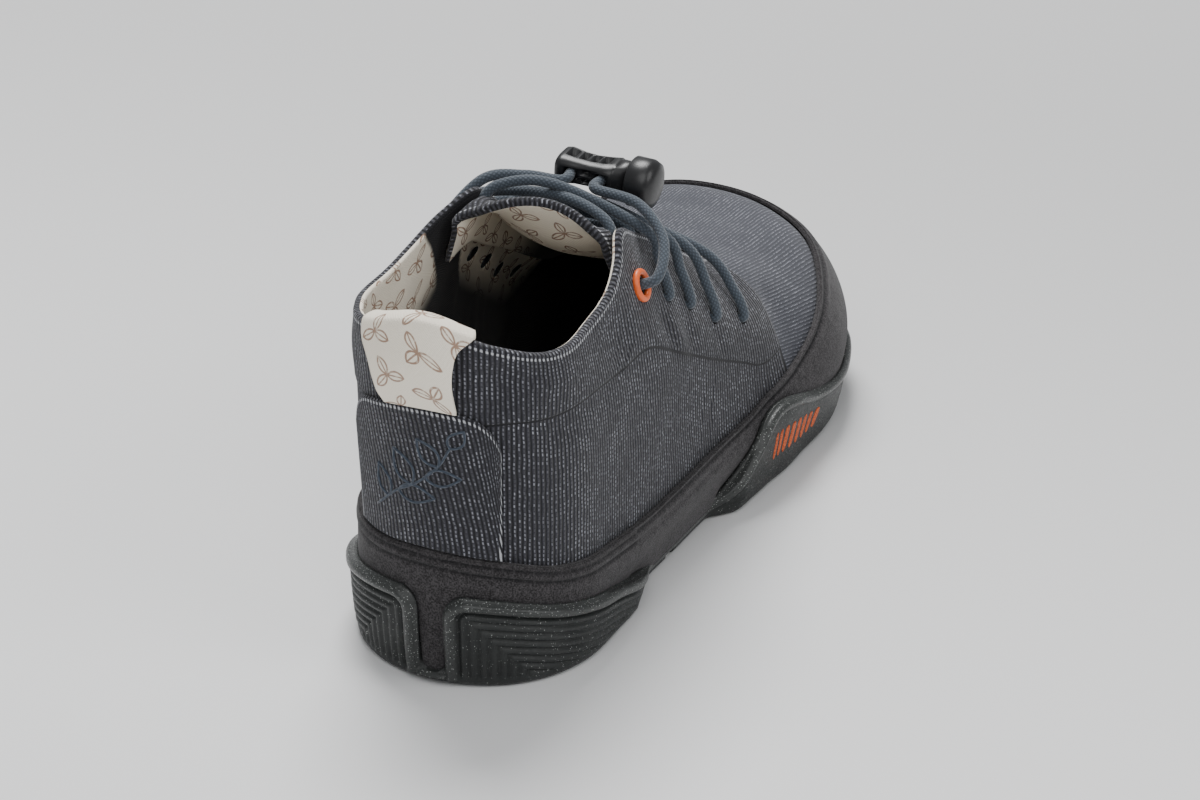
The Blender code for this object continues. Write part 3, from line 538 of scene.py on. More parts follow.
class Look:
    """A material with one Principled shader, and short names for the nodes that feed it."""

    def __init__(self, name, colour, roughness, **inputs):
        self.material = bpy.data.materials.new(name)
        self.material.use_nodes = True
        self.tree = self.material.node_tree
        self.shader = self.tree.nodes["Principled BSDF"]
        self.set("Base Color", colour)
        self.set("Roughness", roughness)
        for key, value in inputs.items():
            self.set(key.replace("_", " "), value)

    def set(self, name, value):
        self.feed(self.shader.inputs[name], value)

    def feed(self, socket, value):
        """Links a wire to a socket or sets its value; a colour gets its alpha here."""
        if isinstance(value, Wire):
            self.tree.links.new(value.socket, socket)
        else:
            socket.default_value = (*value, 1.0) if isinstance(value, tuple) else value

    def node(self, kind, given=(), output=0, **settings):
        """One output of a new node, with its inputs given by name or number."""
        made = self.tree.nodes.new(kind)
        for key, value in settings.items():
            setattr(made, key, value)
        for key, value in dict(given).items():
            self.feed(made.inputs[key], value)
        return Wire(self, made.outputs[output])

    def math(self, operation, *values):
        return self.node("ShaderNodeMath", enumerate(values), operation=operation)

    def ramp(self, value, low, high, first=0.0, last=1.0):
        given = {"Value": value, "From Min": low, "From Max": high, "To Min": first, "To Max": last}
        return self.node("ShaderNodeMapRange", given, "Result", interpolation_type="SMOOTHSTEP")

    def mix(self, share, first, second, kind="RGBA"):
        start, output = (6, 2) if kind == "RGBA" else (4, 1)
        given = {0: share, start: first, start + 1: second}
        return self.node("ShaderNodeMix", given, output, data_type=kind)

    def noise(self, vector, scale, detail=2.0):
        return self.node("ShaderNodeTexNoise", {"Vector": vector, "Scale": scale, "Detail": detail}, "Fac")

    def cells(self, vector, scale):
        return self.node("ShaderNodeTexVoronoi", {"Vector": vector, "Scale": scale}, "Distance")

    def chance(self, x, y):
        pair = self.node("ShaderNodeCombineXYZ", {0: x, 1: y})
        return self.node("ShaderNodeTexWhiteNoise", {"Vector": pair}, "Value", noise_dimensions="2D")

    def apart(self, vector):
        return [self.node("ShaderNodeSeparateXYZ", {0: vector}, axis) for axis in (0, 1)]

    def scaled(self, vector, factor):
        return self.node("ShaderNodeVectorMath", {0: vector, "Scale": factor}, operation="SCALE")

    def place(self):
        """The piece's own coordinates, in millimetres."""
        return self.scaled(self.node("ShaderNodeTexCoord", output="Object"), 1.0 / MM)

    def map(self, name):
        return self.node("ShaderNodeUVMap", uv_map=name)

    def value(self, name):
        return self.node("ShaderNodeAttribute", output="Fac", attribute_name=name)

    def bump(self, height, depth, strength):
        given = {"Strength": strength, "Distance": depth * MM, "Height": height}
        self.set("Normal", self.node("ShaderNodeBump", given))


def shade(colour, factor):
    return tuple(factor * part for part in colour)


COLUMN_PITCH = 1.14
DASH_PITCH = 1.0
VAMP_FINER = 1.35
SLATE_DARK = (0.010, 0.010, 0.012)
SLATE = (0.040, 0.040, 0.049)
SLATE_MIDDLE = (0.046, 0.048, 0.059)
SLATE_PALE = (0.060, 0.063, 0.077)
SEAM_DARK = (0.008, 0.008, 0.010)
DASH = (0.36, 0.37, 0.42)
DOT = (0.50, 0.51, 0.54)
CREAM = (0.92, 0.85, 0.72)
BROWN = (0.30, 0.17, 0.11)
STITCH_DARK = (0.005, 0.005, 0.006)
RUBBER = (0.0155, 0.0175, 0.017)
RUBBER_DUST = (0.042, 0.044, 0.042)
RUBBER_BEAD = (0.050, 0.053, 0.051)
RUBBER_SPECK = (0.40, 0.42, 0.40)

# Motif of the lining: size of a cell and of its leaves, and the band below the edge where the lining fades,
# through painted shade, to dark cloth
MOTIF = 9.5
LEAF_TURNS = (0.0, 1.9, 4.1)
LEAF_FOOT = 0.23
LEAF_NARROW = 0.15
LEAF_ROUND = 0.26
LINING_DARK_AND_SHADE_BAND = (15.0, 26.0)
LINING_THREADS = 9.0
BRAID_LAY = 8.8


def weave(look, vector):
    """Columns of pale dashes on slate thread: pale thread, ribs, height, and the distance off a column."""
    across, along = look.apart(vector)
    across = across / COLUMN_PITCH + look.noise(vector, 0.35) * 0.5
    column = across.floor()
    inside = abs(across.from_middle())
    along = along / DASH_PITCH + look.chance(column, 3.5)
    dash = look.ramp(inside, 0.19, 0.08) * look.ramp(abs(along.from_middle()), 0.38, 0.22)
    bright = look.ramp(look.chance(column, along.floor()), 0.1, 0.95, 0.06, 1.0)
    patch = look.ramp(look.noise(vector, 0.09, 3.0), 0.3, 0.7, 0.35, 1.0)
    rib = look.ramp(inside, 0.5, 0.1)
    return dash * (bright * patch), rib, rib + dash * 0.6, inside


def cloth_look():
    """Woven cloth: columns run up the wall, or to the toe on the vamp; edges show a row of pale dots."""
    look = Look("woven_cloth", SLATE, 0.88, Specular_IOR_Level=0.25, Sheen_Weight=0.15)
    vamp = look.value("vamp_seam")
    on_vamp = look.ramp(vamp, -0.15, 0.15)
    vector = look.mix(on_vamp, look.map("wall"), look.scaled(look.map("vamp"), VAMP_FINER), "VECTOR")
    pale, rib, height, inside = weave(look, vector)
    dots = look.ramp(abs(look.value("edge") - 0.5), 0.40, 0.22) * look.ramp(inside, 0.30, 0.17)
    hollow = look.mix(on_vamp, SLATE_DARK, SLATE_MIDDLE)
    thread = look.mix(rib, hollow, look.mix(on_vamp, SLATE, SLATE_PALE))
    colour = look.mix(dots, look.mix(pale, thread, DASH), DOT)
    seam = look.math("MINIMUM", abs(look.value("panel_seam")), abs(vamp))
    off_seam = look.ramp(seam, 0.10, 0.42)
    look.set("Base Color", look.mix(off_seam, SEAM_DARK, colour))
    calm = on_vamp * -0.6 + 1.0
    look.bump(height * calm * off_seam, 0.22, 0.9)
    return look.material


def leaf_line(look, x, y, turn):
    """Outline and vein of one pointed leaf with its foot at the middle of the cell."""
    cosine = look.math("COSINE", turn)
    sine = turn.sine()
    over = abs(x * cosine - y * sine)
    ahead = x * sine + y * cosine - LEAF_FOOT
    reach = look.math("POWER", over + LEAF_NARROW, 2.0)
    leaf = look.math("SQRT", reach + look.math("POWER", ahead, 2.0))
    outline = look.ramp(abs(leaf - LEAF_ROUND), 0.030, 0.014)
    vein = look.ramp(over, 0.024, 0.010) * look.ramp(leaf, LEAF_ROUND, LEAF_ROUND - 0.02)
    return look.math("MAXIMUM", outline, vein)


def lining_look(name, map_name, darkens=False):
    """Cream cotton with three-leaf sprigs in brown; where it darkens, it fades lower down through painted
    shade to dark cloth, and on the tongue's inside the darkening is all painted shade.
    """
    look = Look(name, CREAM, 0.92, Specular_IOR_Level=0.2, Sheen_Weight=0.1)
    across, along = look.apart(look.scaled(look.map(map_name), 1.0 / MOTIF))
    column = across.floor()
    along = along + column * 0.5
    first_turn = look.chance(column, along.floor()) * 6.283
    x = across.from_middle()
    y = along.from_middle()
    line = 0.0
    for leaf_turn in LEAF_TURNS:
        line = look.math("MAXIMUM", line, leaf_line(look, x, y, first_turn + leaf_turn))
    shown = line * look.ramp(look.noise(look.place(), 0.9), 0.3, 0.5, 0.5, 0.9)
    colour = look.mix(shown, CREAM, BROWN)
    if darkens:
        # Painted shade: the lining fades to dark lower inside the shoe; in the upper it ends in dark lining
        # cloth, and on the tongue it is all shade
        colour = look.mix(look.ramp(look.value("dark_cloth_and_shade_depth"), *LINING_DARK_AND_SHADE_BAND), colour, SLATE_DARK)
    look.set("Base Color", colour)
    threads = MOTIF * LINING_THREADS
    look.bump((across * threads).sine() * (along * threads).sine(), 0.06, 0.6)
    return look.material


def suede_look(name, colour):
    """Matt microfibre: a fine nap with soft lighter and darker clouds, and dark rows of stitches."""
    look = Look(name, colour, 0.88, Specular_IOR_Level=0.2, Sheen_Weight=0.12, Sheen_Roughness=0.5)
    where = look.place()
    nap = look.noise(where, 2.6, 4.0)
    tone = look.ramp(look.noise(where, 0.5, 4.0) * 0.25 + nap * 0.85, 0.36, 0.76)
    cloud = look.mix(tone, shade(colour, 0.35), shade(colour, 2.1))
    along, _ = look.apart(look.map("band"))
    dash = look.ramp(abs(along.from_middle()), 0.42, 0.34)
    stitch = look.value("stitch") * (dash * 0.35 + 0.6)
    look.set("Base Color", look.mix(stitch, cloud, STITCH_DARK))
    look.bump(nap, 0.2, 0.8)
    return look.material


def rubber_look():
    """Dark rubber with fine pale specks, glossier on the bead."""
    look = Look("sole_rubber", RUBBER, 0.5, Specular_IOR_Level=0.4)
    where = look.place()
    bead = look.value("bead")
    grain = look.noise(where, 2.2, 3.0)
    dust = look.ramp(look.noise(where, 0.12, 4.0), 0.4, 0.75, 0.0, 0.35)
    base = look.mix(bead * 0.5, look.mix(dust, RUBBER, RUBBER_DUST), RUBBER_BEAD)
    sparse = look.ramp(bead * 0.16 + look.noise(where, 0.8), 0.48, 0.62)
    specks = look.ramp(look.cells(where, 1.9), 0.24, 0.12) * sparse
    look.set("Base Color", look.mix(specks, base, RUBBER_SPECK))
    look.set("Roughness", look.ramp(grain, 0.3, 0.7, 0.40, 0.62) + bead * -0.14)
    look.bump(grain, 0.12, 0.5)
    return look.material


def braid_look(name, colour, rounds):
    """Braided cord: two sets of threads that wind round it in opposite ways."""
    look = Look(name, colour, 0.75, Specular_IOR_Level=0.3, Sheen_Weight=0.25)
    around, along = look.apart(look.map("cord"))
    turns = around * rounds
    steps = along * (rounds / BRAID_LAY)
    ridges = [look.ramp(abs(wind.from_middle()), 0.5, 0.1) for wind in (turns + steps, turns - steps)]
    height = ridges[0] * ridges[1]
    look.set("Base Color", look.mix(height, shade(colour, 0.7), shade(colour, 1.25)))
    look.bump(height, 0.12, 0.7)
    return look.material


def plastic_look():
    look = Look("lock_plastic", (0.012, 0.012, 0.013), 0.34, Specular_IOR_Level=0.5)
    grain = look.noise(look.place(), 5.0, 2.0)
    look.set("Roughness", look.ramp(grain, 0.2, 0.8, 0.28, 0.42))
    look.bump(grain, 0.02, 0.4)
    return look.material


def enamel_look():
    look = Look("eyelet_enamel", (0.80, 0.13, 0.025), 0.4, Specular_IOR_Level=0.5)
    grain = look.noise(look.place(), 1.8, 3.0)
    look.set("Base Color", look.mix(grain, (0.70, 0.10, 0.02), (0.88, 0.17, 0.035)))
    look.set("Roughness", look.ramp(grain, 0.3, 0.7, 0.3, 0.5))
    return look.material


def print_look():
    look = Look("patch_print", (0.62, 0.105, 0.022), 0.6, Specular_IOR_Level=0.3)
    grain = look.noise(look.place(), 2.4, 3.0)
    worn = look.ramp(grain, 0.35, 0.7)
    look.set("Base Color", look.mix(worn, (0.36, 0.055, 0.014), (0.72, 0.14, 0.030)))
    look.bump(grain, 0.05, 0.6)
    return look.material


def plain_cloth_look(name, colour):
    look = Look(name, colour, 0.9, Specular_IOR_Level=0.2)
    x, y = look.apart(look.place())
    thread = (x * 8.0).sine() * (y * 8.0).sine()
    look.set("Base Color", look.mix(look.ramp(thread, -1.0, 1.0), shade(colour, 0.7), colour))
    look.bump(thread, 0.08, 0.7)
    return look.material


# Upper
UPPER_COLUMNS = 440
UPPER_ROWS = 130
ROLL_STEPS = 6
PANEL_STEP = 0.35
PIN_REACH = 5.0
MM_PER_V = 20.0
MM_PER_U = 12.0

# Dark cloth inside the inner side: a slanted strip and the upper part of the flap ahead of it
WING_SLANT = 0.06
WING_U = ((24.4, 25.0), (25.3, 25.9))
FLAP_U = ((22.6, 23.0), (25.0, 25.2))
FLAP_DEPTH = (6.0, 9.0)
DARK_SHIFT = 40.0


def seam_distances(u, v):
    """Signed distances, in millimetres, above the panel seam and ahead of the vamp seam."""
    panel = (v - seam_height(u)) * MM_PER_V
    vamp = (outer_u(u) - VAMP_U) * MM_PER_U
    return np.where(vamp > 0.0, np.maximum(np.abs(panel), vamp), panel), vamp


def upper_maps(u_closed, v, over_roll):
    """Maps in millimetres: up the wall and over its rolled edge, and to the toe over the vamp."""
    travel = wall_travel(u_closed, 2.6)
    spread = arc_up(u_closed, v) - over_roll[:, None]
    wall = np.stack(np.broadcast_arrays(travel[None, :], spread), -1)
    turn = np.radians(blend(TABLE["turn"], u_closed, 360.0))
    reach = blend(TABLE["edge_r"], u_closed)[None, :] + spread
    axis_y = blend(TABLE["axis_y"], u_closed)[None, :]
    vamp = np.stack([reach * np.cos(turn), axis_y + reach * np.sin(turn)], -1)
    return {"wall": wall, "vamp": vamp}


def eyelet_cutter():
    """Ten round pins, one through each eyelet, as one mesh."""
    turns = circle(24)[:, None]
    pins = []
    for side in (1, -1):
        for number in range(len(EYELET_Y)):
            point, out, first, second = eyelet(side, number)
            ring = point + EYELET_HOLE * (np.cos(turns) * first + np.sin(turns) * second)
            pins.append(np.array([ring - PIN_REACH * out, ring + PIN_REACH * out]))
    return cutter("eyelet_cutter", pins)


def make_upper():
    u_closed = even_columns(UPPER_COLUMNS)
    u = u_closed[:-1]
    outside = np.linspace(0.0, 4.0, UPPER_ROWS)
    inside = np.linspace(4.0, 0.0, UPPER_ROWS // 2)
    roll = np.linspace(0.0, math.pi, ROLL_STEPS + 2)[1:-1]
    half = 0.5 * WALL
    v = np.concatenate([outside, np.full(ROLL_STEPS, 4.0), inside])
    lift = np.concatenate([0 * outside, -half * (1 - np.cos(roll)), 0 * inside - WALL])[:, None]
    rise = np.concatenate([0 * outside, half * np.sin(roll), 0 * inside])[:, None]
    over_roll = np.concatenate([0 * outside, half * roll, 0 * inside])
    grid_u, grid_v = np.broadcast_arrays(u[None, :], v[:, None])
    base = skin(grid_u, grid_v)
    spread = arc_up(u, v)
    rise = rise - half * (1 - smooth_step(spread, 0.0, 6.0))
    panel, vamp = seam_distances(grid_u, grid_v)
    raised = PANEL_STEP * smooth_step(panel, -0.5, 0.5) * (1 - smooth_step(vamp, -0.5, 0.5))
    stand = crease_height(base) + np.where(lift > -half, raised, 0.0)
    points = base + (lift + stand)[..., None] * normal(grid_u, grid_v) + rise[..., None] * upward(u, 4.0)
    wrapped = grid_u % ROWS
    wing = between(wrapped + WING_SLANT * spread, *WING_U)
    flap = between(wrapped, *FLAP_U) * (1 - smooth_step(spread, *FLAP_DEPTH))
    values = {
        "panel_seam": panel,
        "vamp_seam": vamp,
        "edge": spread,
        # Depth below the edge where the lining turns dark: dark cloth lower down and in the inner strips,
        # with painted shade over the fade
        "dark_cloth_and_shade_depth": spread + DARK_SHIFT * np.maximum(wing, flap),
    }
    made = grid_piece("upper_cloth", points, (True, True), upper_maps(u_closed, v, over_roll), values)
    inner_face = np.arange(len(v)).repeat(UPPER_COLUMNS) >= UPPER_ROWS + ROLL_STEPS // 2
    made.data.polygons.foreach_set("material_index", inner_face.astype(np.int32))
    dress(faces_out(made), ("cloth", "lining"), "upper")
    cut(made, eyelet_cutter())


# Band of microfibre
RAND_COLUMNS = 480
RAND_ROWS = 64
RAND_BACK_ROWS = 10
RAND_TOP = 2.0
RAND_LOW = 0.25
WAIST_DROP = 0.42
WAIST_DRAPE = 1.25
NOTCH_DROP = 0.33
NOTCH_DRAPE = 2.6
RAND_SEAM_U = 4.12
RAND_STEP = 0.5
RAND_PUFF = 0.25
TOE_FULLNESS = 1.1
CORNER_FULLNESS = 0.7
STITCH_PITCH = 2.2
STITCH_DEPTH = 0.4

# Rows of stitches: their middle and half width below the band's top, or ahead of its side seam
TOP_ROW = (1.3, 0.40)
HEEL_ROW = (3.4, 0.50)
BEHIND_SEAM = (-1.2, 0.3)
AHEAD_OF_SEAM = (0.5, 0.35)


def make_rand():
    u_closed = even_columns(RAND_COLUMNS)
    u = u_closed[:-1]
    waist = 1 - smooth_step(cup_form(u)[0], 0.10, 0.34)
    signed_u = (u + ROWS / 2) % ROWS - ROWS / 2
    beside_notch = np.abs(wall_travel(signed_u, NOTCH_V) - NOTCH_SHIFT)
    in_notch = 1 - smooth_step(beside_notch, NOTCH_HALF - 0.8, NOTCH_HALF + 0.6)
    low = RAND_LOW - WAIST_DROP * waist - NOTCH_DROP * in_notch
    front = np.linspace(0.0, 1.0, RAND_ROWS)
    roll = np.linspace(0.0, math.pi, 7)[1:-1]
    back = np.linspace(1.0, 0.0, RAND_BACK_ROWS)
    top = RAND_GAP + RAND_THICK
    half = 0.5 * RAND_THICK
    share = np.concatenate([front, np.ones(len(roll)), back])[:, None]
    lift = np.concatenate([0 * front + top, top - half * (1 - np.cos(roll)), 0 * back + RAND_GAP])[:, None]
    rise = np.concatenate([0 * front, half * np.sin(roll) - half, 0 * back])[:, None, None]
    v = low + (RAND_TOP - low) * share
    grid_u = np.broadcast_to(u, v.shape)
    folded_u = outer_u(grid_u)
    below = arc_up(u, v) - arc_up(u, np.full_like(v, RAND_TOP))
    heel = 1 - smooth_step(folded_u, RAND_SEAM_U - 0.03, RAND_SEAM_U + 0.03)
    ahead = (folded_u - RAND_SEAM_U) * MM_PER_U
    rows = hill(below, *TOP_ROW) + hill(below, *HEEL_ROW) * heel
    rows = rows + hill(ahead, *BEHIND_SEAM) * (below > 3.0) + hill(ahead, *AHEAD_OF_SEAM) * (below > 0.4)
    fold = RAND_STEP * heel * smooth_step(below, 0.0, 0.6) + RAND_PUFF * hill(below, 2.3, 0.9)
    stand = np.where(lift > top - 0.5 * half, fold - STITCH_DEPTH * rows, 0.0)
    drape = WAIST_DRAPE * waist * (1 - smooth_step(v, -0.1, 0.7))
    drape = drape + NOTCH_DRAPE * in_notch * (1 - smooth_step(v, 0.0, 1.0))
    full = TOE_FULLNESS * smooth_step(folded_u, 9.4, 11.2) + CORNER_FULLNESS * hill(grid_u, 12.0, 1.2)
    swell = full * np.sin(math.pi * np.clip(1.0 - 0.5 * v, 0.0, 1.0))
    points = lifted(grid_u, v, lift + stand + drape + swell) + rise * upward(u, RAND_TOP)
    travel = wall_travel(u_closed, RAND_TOP) / STITCH_PITCH
    wide = np.concatenate([below, below[:, :1]], 1)
    band = np.stack(np.broadcast_arrays(travel[None, :], wide), -1)
    values = {"stitch": np.clip(rows, 0.0, 1.0)}
    made = grid_piece("rand_band", points, (True, True), {"band": band}, values)
    dress(faces_out(made), ["suede"], "rand")


# Sole
SOLE_ROWS = 72
FOOT_ROWS = 10
UNDER_RINGS = 64
OVER_RINGS = 8
TREAD_RIBS = 13
TREAD_DEPTH = 0.5
HEEL_INSET = 24.0
TOE_INSET = 26.0
EDGE_HIGH = 1.6
EDGE_INSET = (3.4, 0.5)
LIP_LIFT = 1.65
LIP_LEAN = 0.9
LIP_HIGH = 0.3
BEAD = 2.4
RIB_START = 2.9
RIB_PITCH = 1.9
PATCH_U = ((8.4, 8.7), (11.6, 12.2))
NOTCH_V = 1.2
NOTCH_FRONT = -14.0
NOTCH_CEILING = 40.0
NEAR_NOTCH = 32.0
NEAR_STEP = 0.4
FAR_COLUMNS = 170
GROOVE_LOW = -6.0


def ground(x, y):
    """Height of the sole's underside: the toe spring, the arch and a small bevel at the heel."""
    along = np.clip(1.0 - ((y - ARCH_Y) / ARCH_HALF) ** 2, 0.0, None)
    arch = ARCH_LIFT * along**2 * np.clip((8.0 - x) / 24.0, 0.0, 1.0)
    bevel = 0.01 * np.clip(8.0 - y, 0.0, None) ** 2
    return spring(y) + arch + bevel


def sole_top(x, y):
    return SOLE_THICK + spring(y)


def v_at_height(u, z):
    """The v below the band's edge at which the skin reaches this height, column by column."""
    fine = np.linspace(0.0, 2.0, 81)
    heights = skin(u[None, :], fine[:, None])[..., 2]
    return np.array([np.interp(z[column], heights[:, column], fine) for column in range(len(u))])


def cup_wall(u, v, lift, fullness):
    """Outside of the sole's wall: over the wall line it follows the upper, and below it stays steeper."""
    base = skin(u, v)
    share = (fullness * (1 - smooth_step(v, 0.8, 1.2)))[:, None]
    flat_out = unit(normal(u, 1.0) * np.array([1.0, 1.0, 0.0]))
    base[:, :2] += share * (skin(u, 1.0)[:, :2] - base[:, :2])
    out = unit(normal(u, v) * (1.0 - share) + flat_out * share)
    return base + np.asarray(lift)[:, None] * out


def cup_form(u):
    """The rim's v, how proud its bead is, the fullness below the wall line, the inner gap and outer lift."""
    rim_z = blend(TABLE["rim_z"], u) + spring(skin(u, 1.0)[:, 1])
    rim_v = np.maximum(v_at_height(u, rim_z), RIM_LEAST)
    proud = np.clip(rim_v / 0.6, 0.3, 1.0)
    fullness = 0.75 * np.clip((rim_v - 0.12) / 0.35, 0.0, 1.0)
    cupped = np.clip((rim_v - TUCK_V[0]) / (TUCK_V[1] - TUCK_V[0]), 0.0, 1.0)
    gap = TUCK_GAP + (CUP_GAP - TUCK_GAP) * cupped
    full = gap + 0.6 + proud * (CUP_THICK - 1.15)
    return rim_v, proud, fullness, gap, full


def sole_columns():
    """Columns round the sole, close beside the heel notch and wider elsewhere, and their travel from it."""
    fine = np.linspace(-ROWS / 2, ROWS / 2, 6001)
    travel = wall_travel(fine, NOTCH_V) - NOTCH_SHIFT
    near = np.arange(-NEAR_NOTCH, NEAR_NOTCH + 0.01, NEAR_STEP)
    right = np.linspace(NEAR_NOTCH, travel[-1], FAR_COLUMNS)[1:]
    left = np.linspace(travel[0], -NEAR_NOTCH, FAR_COLUMNS)[1:-1]
    wanted = np.concatenate([left, near, right])
    return np.interp(wanted, travel, fine), wanted


def rim_depth(plain, below, travel):
    """Depth under the rim or the notch's edge, whichever is nearer, rounded where they meet."""
    beside = np.abs(travel)[None, :] - NOTCH_HALF
    from_notch = np.where(beside > 0, beside, np.clip(NOTCH_FLOOR - plain[..., 2], 0.0, None))
    corner_a = np.clip(NOTCH_ROUND - below, 0.0, None)
    corner_b = np.clip(NOTCH_ROUND - from_notch, 0.0, None)
    rounded = NOTCH_ROUND - np.hypot(corner_a, corner_b)
    depth = np.where((corner_a > 0) & (corner_b > 0), rounded, np.minimum(below, from_notch))
    return np.clip(depth, -1.0, None)


def rim_shape(depth):
    """How far the wall stands out at this depth under the rim: a round bead, a groove and fine ribs."""
    half = 0.5 * BEAD
    round_bead = np.sqrt(np.clip(1 - ((depth - half) / half) ** 2, 0.0, 1.0))
    bead = np.where(depth < half, (0.75 + LIP_LEAN) * round_bead - LIP_LEAN, 0.95 * round_bead - 0.2)
    wave = 0.5 + 0.5 * np.cos(2 * math.pi * (depth - RIB_START) / RIB_PITCH)
    rib = 0.1 - 0.75 * wave**2
    groove = -0.5 * hill(depth, BEAD + 0.25, 0.35)
    return np.where(depth < BEAD, bead, np.where(depth < RIB_START, -0.5, rib)) + groove


def tread(share):
    """Height of the shallow ribs that follow the outline below, from the edge at 0 to the middle at 1."""
    wave = 0.5 - 0.5 * np.cos(2 * math.pi * share * TREAD_RIBS)
    return TREAD_DEPTH * wave * between(share, (0.03, 0.08), (0.9, 0.98))


def shrunk(ring, share, height, heel=0):
    """A ring drawn in towards the line down its middle, which its columns share in pairs from the heel."""
    count = len(ring)
    partner = (2 * heel - np.arange(count)) % count
    middle = 0.5 * (ring + ring[partner])
    order = np.argsort(middle[:, 1])
    spine_y = np.clip(middle[:, 1], ring[:, 1].min() + HEEL_INSET, ring[:, 1].max() - TOE_INSET)
    spine_x = np.interp(spine_y, middle[order, 1], middle[order, 0])
    x = spine_x + (ring[:, 0] - spine_x) * share
    y = spine_y + (ring[:, 1] - spine_y) * share
    return np.stack([x, y, height(x, y)], -1)


def closed_by_rungs(name, rings, heel, beaded):
    """Rings of points closed below and above by rings that shrink to the line down the middle."""
    shares = np.linspace(0.0, 1.0, UNDER_RINGS)[:-1]
    under = np.array([shrunk(rings[0], share, ground, heel) for share in shares])
    under[1:, :, 2] += tread(1.0 - shares[1:])[:, None]
    over = [shrunk(rings[-1], share, sole_top, heel) for share in np.linspace(1.0, 0.0, OVER_RINGS)[1:]]
    beaded = np.pad(beaded, ((len(under), len(over)), (0, 0)))
    made = grid_piece(name, np.concatenate([under, rings, over]), values={"bead": beaded})
    return faces_out(made, 0.002)


def arc(x, z, half_wide, half_high, first, last, count):
    """Points along part of an ellipse, from one turn to another in degrees."""
    turns = np.radians(np.linspace(first, last, count))
    return np.stack([x + half_wide * np.cos(turns), z + half_high * np.sin(turns)], -1)


def notch_cutter():
    """A round-bottomed slot through the back wall of the heel cup, with rounded upper corners."""
    shoulder = TABLE["rim_z"][0] + 0.1 - NOTCH_ROUND
    flare = NOTCH_HALF + NOTCH_ROUND
    outline = [
        [(-flare, NOTCH_CEILING)],
        arc(-flare, shoulder, NOTCH_ROUND, NOTCH_ROUND, 90, 0, 9),
        arc(0.0, NOTCH_FLOOR + NOTCH_CORNER, NOTCH_HALF, NOTCH_CORNER, 180, 360, 17),
        arc(flare, shoulder, NOTCH_ROUND, NOTCH_ROUND, 180, 90, 9),
        [(flare, NOTCH_CEILING)],
    ]
    shape = np.concatenate(outline) + (NOTCH_SHIFT, 0.0)
    return cutter("notch_cutter", [np.array([np.insert(shape, 1, y, 1) for y in (NOTCH_FRONT, NOTCH_BACK)])])


def groove_cutter():
    """A flat-topped bar along the flex groove."""
    path = smooth_path([(x, y, 0.0) for x, y in GROOVE_PATH], 90)
    heading = unit(np.gradient(path[:, :2], axis=0))
    across = np.stack([heading[:, 1], -heading[:, 0], np.zeros(len(path))], 1)
    top = ground(path[:, 0], path[:, 1]) + GROOVE_DEPTH
    corners = []
    for side, level in ((-1, top), (1, top), (1, GROOVE_LOW), (-1, GROOVE_LOW)):
        edge = path + side * GROOVE_HALF * across
        edge[:, 2] = level
        corners.append(edge)
    return cutter("groove_cutter", [np.stack(corners, 1)])


def make_outsole():
    u, travel = sole_columns()
    rim_v, proud, fullness, gap, full = cup_form(u)
    edge = []
    for turn in np.linspace(0.0, 0.5 * math.pi, 7):
        inset = EDGE_INSET[0] + (EDGE_INSET[1] - EDGE_INSET[0]) * math.sin(turn)
        ring = cup_wall(u, np.zeros_like(u), full - inset, fullness)
        ring[:, 2] = ground(ring[:, 0], ring[:, 1]) + EDGE_HIGH * (1 - math.cos(turn))
        edge.append(ring)
    foot = edge.pop()
    shares = np.linspace(0.05, 1.0, SOLE_ROWS)
    wall = np.array([cup_wall(u, rim_v * share, full, fullness) for share in shares])
    out = np.array([cup_wall(u, rim_v * share, full + 1.0, fullness) for share in shares]) - wall
    lead = [foot + (wall[0] - foot) * share for share in np.linspace(0.0, 1.0, FOOT_ROWS + 1)[:-1]]
    plain = np.concatenate([lead, wall])
    out = np.concatenate([np.repeat(out[:1], FOOT_ROWS, 0), out])
    travelled = lengths(plain)
    depth = rim_depth(plain, travelled[-1] - travelled, travel)
    shape = rim_shape(np.clip(depth, 0.0, None))
    ribbed = (1 - between(u, *PATCH_U)) * smooth_step(travelled, 0.2, 1.4)
    stand = np.where(depth < BEAD, shape, shape * ribbed) - np.clip(-depth, 0.0, 1.0) * 1.2
    crest = full - proud * LIP_LEAN
    lip = []
    for turn in np.linspace(0.0, 0.5 * math.pi, 5)[1:]:
        reach = LIP_LIFT + (crest - LIP_LIFT) * math.cos(turn)
        lip.append(lifted(u, rim_v, reach) + np.array([0.0, 0.0, LIP_HIGH * math.sin(2 * turn)]))
    inner = [lifted(u, rim_v * share, gap) for share in (0.85, 0.5, 0.04)]
    rings = np.concatenate([edge, plain + (proud * stand)[..., None] * out, lip, inner])
    beaded = np.zeros(rings.shape[:2])
    first = len(edge)
    last = first + len(depth)
    beaded[first:last] = 1 - smooth_step(depth, BEAD - 0.3, BEAD + 0.1)
    beaded[last : -len(inner)] = 1.0
    made = closed_by_rungs("outsole_rubber", rings, int(np.argmin(np.abs(travel))), beaded)
    dress(made, ["rubber"], "outsole")
    cut(made, notch_cutter())
    cut(made, groove_cutter())


BAR_COUNT = 8
BAR_U = (9.6, 11.05)
BAR_REACH = (0.20, 0.60)
BAR_HALF = 0.062
BAR_SLANT = 0.11
BAR_LIFT = 0.14
BAR_ROUND = 0.10
BAR_SUNK = 0.4


